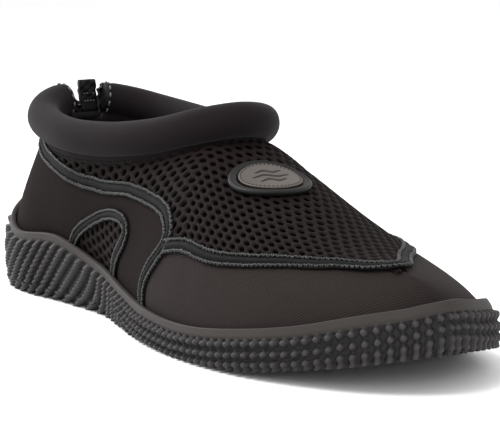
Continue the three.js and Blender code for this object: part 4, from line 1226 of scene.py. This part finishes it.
def badge():
    rim_drops = (
        (0.985, 0.25), (0.955, 0.04), (0.925, 0.02), (0.905, 0.3), (0.885, 0.42), (0.865, 0.28),
        (0.84, 0.3), (0.805, 0.7),
    )
    base = oval(
        [(0.02, BADGE_LOW), (0.5, BADGE_LOW), (0.97, BADGE_LOW), (1.0, BADGE_LOW + 0.3)]
        + [(1.0, BADGE_TOP + 0.5)] + [(share, BADGE_HIGH - drop) for share, drop in rim_drops]
        + [(RIM, BADGE_TOP), (0.4, BADGE_TOP), (0.02, BADGE_TOP)]
    )
    ride(make("badge_dish", *base, [BADGE_RUBBER]), "badge_base")
    low = BADGE_TOP + CLEARANCE
    edge = RIM - 0.03
    high = low + 0.7
    face_verts, face_faces = oval(
        [(0.02, low), (0.4, low), (edge, low), (edge, high - 0.2), (edge - 0.015, high - 0.03)]
        + [(share, high) for share in (edge - 0.04, 0.6, 0.4, 0.2, 0.02)]
    )
    starts, ends, marks = [], [], 44
    for k in range(marks):
        for share, bag in ((0.2, starts), (0.75, ends)):
            a = 2 * math.pi * (k + share) / marks
            bag.append(on_badge(np.array([0.69 * math.cos(a)]), np.array([0.72 * math.sin(a)]), high + 0.02)[0])
    marks_verts, marks_faces = threads(starts, ends, [UP] * marks, 0.2, 0.05)
    parts = [(face_verts, face_faces, 0, None), (marks_verts, marks_faces, 1, None)]
    # Three raised bars that swell in the middle, like ripples.
    for along, half_long in ((-0.26, 0.34), (0.0, 0.46), (0.26, 0.34)):
        u = np.linspace(-1, 1, 33)
        w = np.array([-1.0, -0.8, 0.0, 0.8, 1.0])
        bar_lift = np.array([0.0, 0.18, 0.24, 0.18, 0.0])
        uu, ww = np.meshgrid(u, w, indexing="ij")
        wide = 0.055 * np.sqrt(np.clip(1.02 - uu**2, 0, 1))
        lane = along + 0.05 * np.sin(uu * math.pi * 1.5) + ww * wide
        verts = on_badge(lane, uu * half_long, high - 0.02 + np.broadcast_to(bar_lift, uu.shape))
        parts.append((verts, grid_faces(len(u), len(w), flip=True).tolist(), 1, None))
    verts, faces, slots, _ = joined(parts)
    ride(make("badge_face", verts, faces, [BADGE_SATIN, BADGE_INK], None, slots), "badge_plate")


# ------------------------------------------------------------------ the shoe
ride(outsole(), "outsole")


for side, word in ((MEDIAL, "medial"), (LATERAL, "lateral")):
    sheet_panel(
        "quarter_" + word, "quarter_panel_" + word, "neoprene",
        QUARTER, (side,), 0.0, NEOPRENE, [HEEL_CLOTH], hole=ARCH_LINE,
    )
    net = hex_net("window_net_" + word, (side,), in_window, ((-75, -5), (30, 130)), -0.35)
    ride(net, "arch_window_mesh_" + word)
    back = panel("window_lining_" + word, WINDOW, (side,), -1.3, 0.5, [LINING])[0]
    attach(back, "shoe")
    for name, node, line, width, seed in (
        ("quarter_tape_", "quarter_seam_tape_", QUARTER[1], TAPE_WIDTH, 20),
        ("window_tape_", "arch_window_tape_", ARCH_LINE, WINDOW_TAPE_WIDTH, 40),
    ):
        tape(name + word, side_lines(line, side), width, node + word, seed + side)

sheet_panel(
    "toe_guard", "toe_panel", "neoprene",
    TOE_PART, (MEDIAL, LATERAL), 0.0, NEOPRENE, [TOE_CLOTH], toe=True,
)
vamp_net = hex_net("vamp_net", (MEDIAL, LATERAL), in_vamp, ((-110, 122), (-120, 120)), 0.0)
ride(vamp_net, "vamp_mesh")
sheet_panel(
    "vamp_backing", "vamp_lining", "inner_fabric",
    VAMP, (MEDIAL, LATERAL), -MESH_THICKNESS - CLEARANCE, LINING_THICKNESS, [LINING],
)
lateral_toe = [(1 - TOE_LINE[::-1, 0] / LAPS, TOE_LINE[::-1, 1])]
toe_lines = side_lines(TOE_LINE, MEDIAL) + lateral_toe
tape("toe_tape", toe_lines, TAPE_WIDTH, "toe_seam_tape", 60, 2.4, 0.10, 0.1, apex=True)

roll = collar()
ride(roll, ["collar_cover", "collar_foam"])
heel_tape()
pull_tab()
foam_low = STROBEL_THICKNESS + CLEARANCE
foam = footbed("insole_foam", foam_low, foam_low + FOOTBED_FOAM, FOAM, "footbed_foam")
cover_low = STROBEL_THICKNESS + 2 * CLEARANCE + FOOTBED_FOAM
footbed("insole_cover", cover_low, cover_low + FOOTBED_COVER, INNER, "footbed_cover")
badge()
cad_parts["strobel_board"].data.materials.clear()
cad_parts["strobel_board"].data.materials.append(BOARD)

# ------------------------------------------------------------------ floor, light and camera
FLOOR_COLOUR = (0.93, 0.93, 0.93, 1)
floor_mesh = bpy.data.meshes.new("floor")
reach = 6.0
corners = [(-reach, -reach, 0), (reach, -reach, 0), (reach, reach, 0), (-reach, reach, 0)]
floor_mesh.from_pydata(corners, [], [(0, 1, 2, 3)])
floor = bpy.data.objects.new("floor", floor_mesh)
bpy.context.scene.collection.objects.link(floor)
floor_mat = bpy.data.materials.new("floor_paint")
floor_mat.use_nodes = True
paint = floor_mat.node_tree.nodes["Principled BSDF"].inputs
paint["Base Color"].default_value = FLOOR_COLOUR
paint["Roughness"].default_value = 0.6
floor_mesh.materials.append(floor_mat)

world = bpy.data.worlds.new("studio")
world.use_nodes = True
sky = world.node_tree.nodes["Background"].inputs
sky["Color"].default_value = (1, 1, 1, 1)
sky["Strength"].default_value = 1.0
bpy.context.scene.world = world


def soft_light(name, place, aim, size, power):
    data = bpy.data.lights.new(name, "AREA")
    data.size, data.energy = size, power
    lamp = bpy.data.objects.new(name, data)
    lamp.location = place
    lamp.rotation_mode = "QUATERNION"
    lamp.rotation_quaternion = (Vector(aim) - Vector(place)).to_track_quat("-Z", "Y")
    bpy.context.scene.collection.objects.link(lamp)


soft_light("key", (-0.1, -0.5, 1.2), (0.0, 0.0, 0.03), 0.7, 14.0)
soft_light("left", (-1.0, -0.35, 0.55), (-0.05, 0.0, 0.05), 0.6, 7.0)
soft_light("front", (1.2, -0.5, 0.5), (0.05, 0.0, 0.03), 0.6, 5.0)

AZIMUTH, ELEVATION = math.radians(56), math.radians(8.2)
CAMERA_DISTANCE = 0.915
target = Vector(((np.array(CAMERA_TARGET) + ORIGIN) * MM).tolist())
back = Vector(
    (math.sin(AZIMUTH) * math.cos(ELEVATION), -math.cos(AZIMUTH) * math.cos(ELEVATION), math.sin(ELEVATION))
)
camera_data = bpy.data.cameras.new("camera")
camera_data.lens, camera_data.sensor_width = 180, 36
camera = bpy.data.objects.new("camera", camera_data)
camera.location = target + back * CAMERA_DISTANCE
camera.rotation_mode = "QUATERNION"
camera.rotation_quaternion = (-back).to_track_quat("-Z", "Y")
bpy.context.scene.collection.objects.link(camera)
bpy.context.scene.camera = camera
bpy.context.scene.view_settings.view_transform = "Standard"
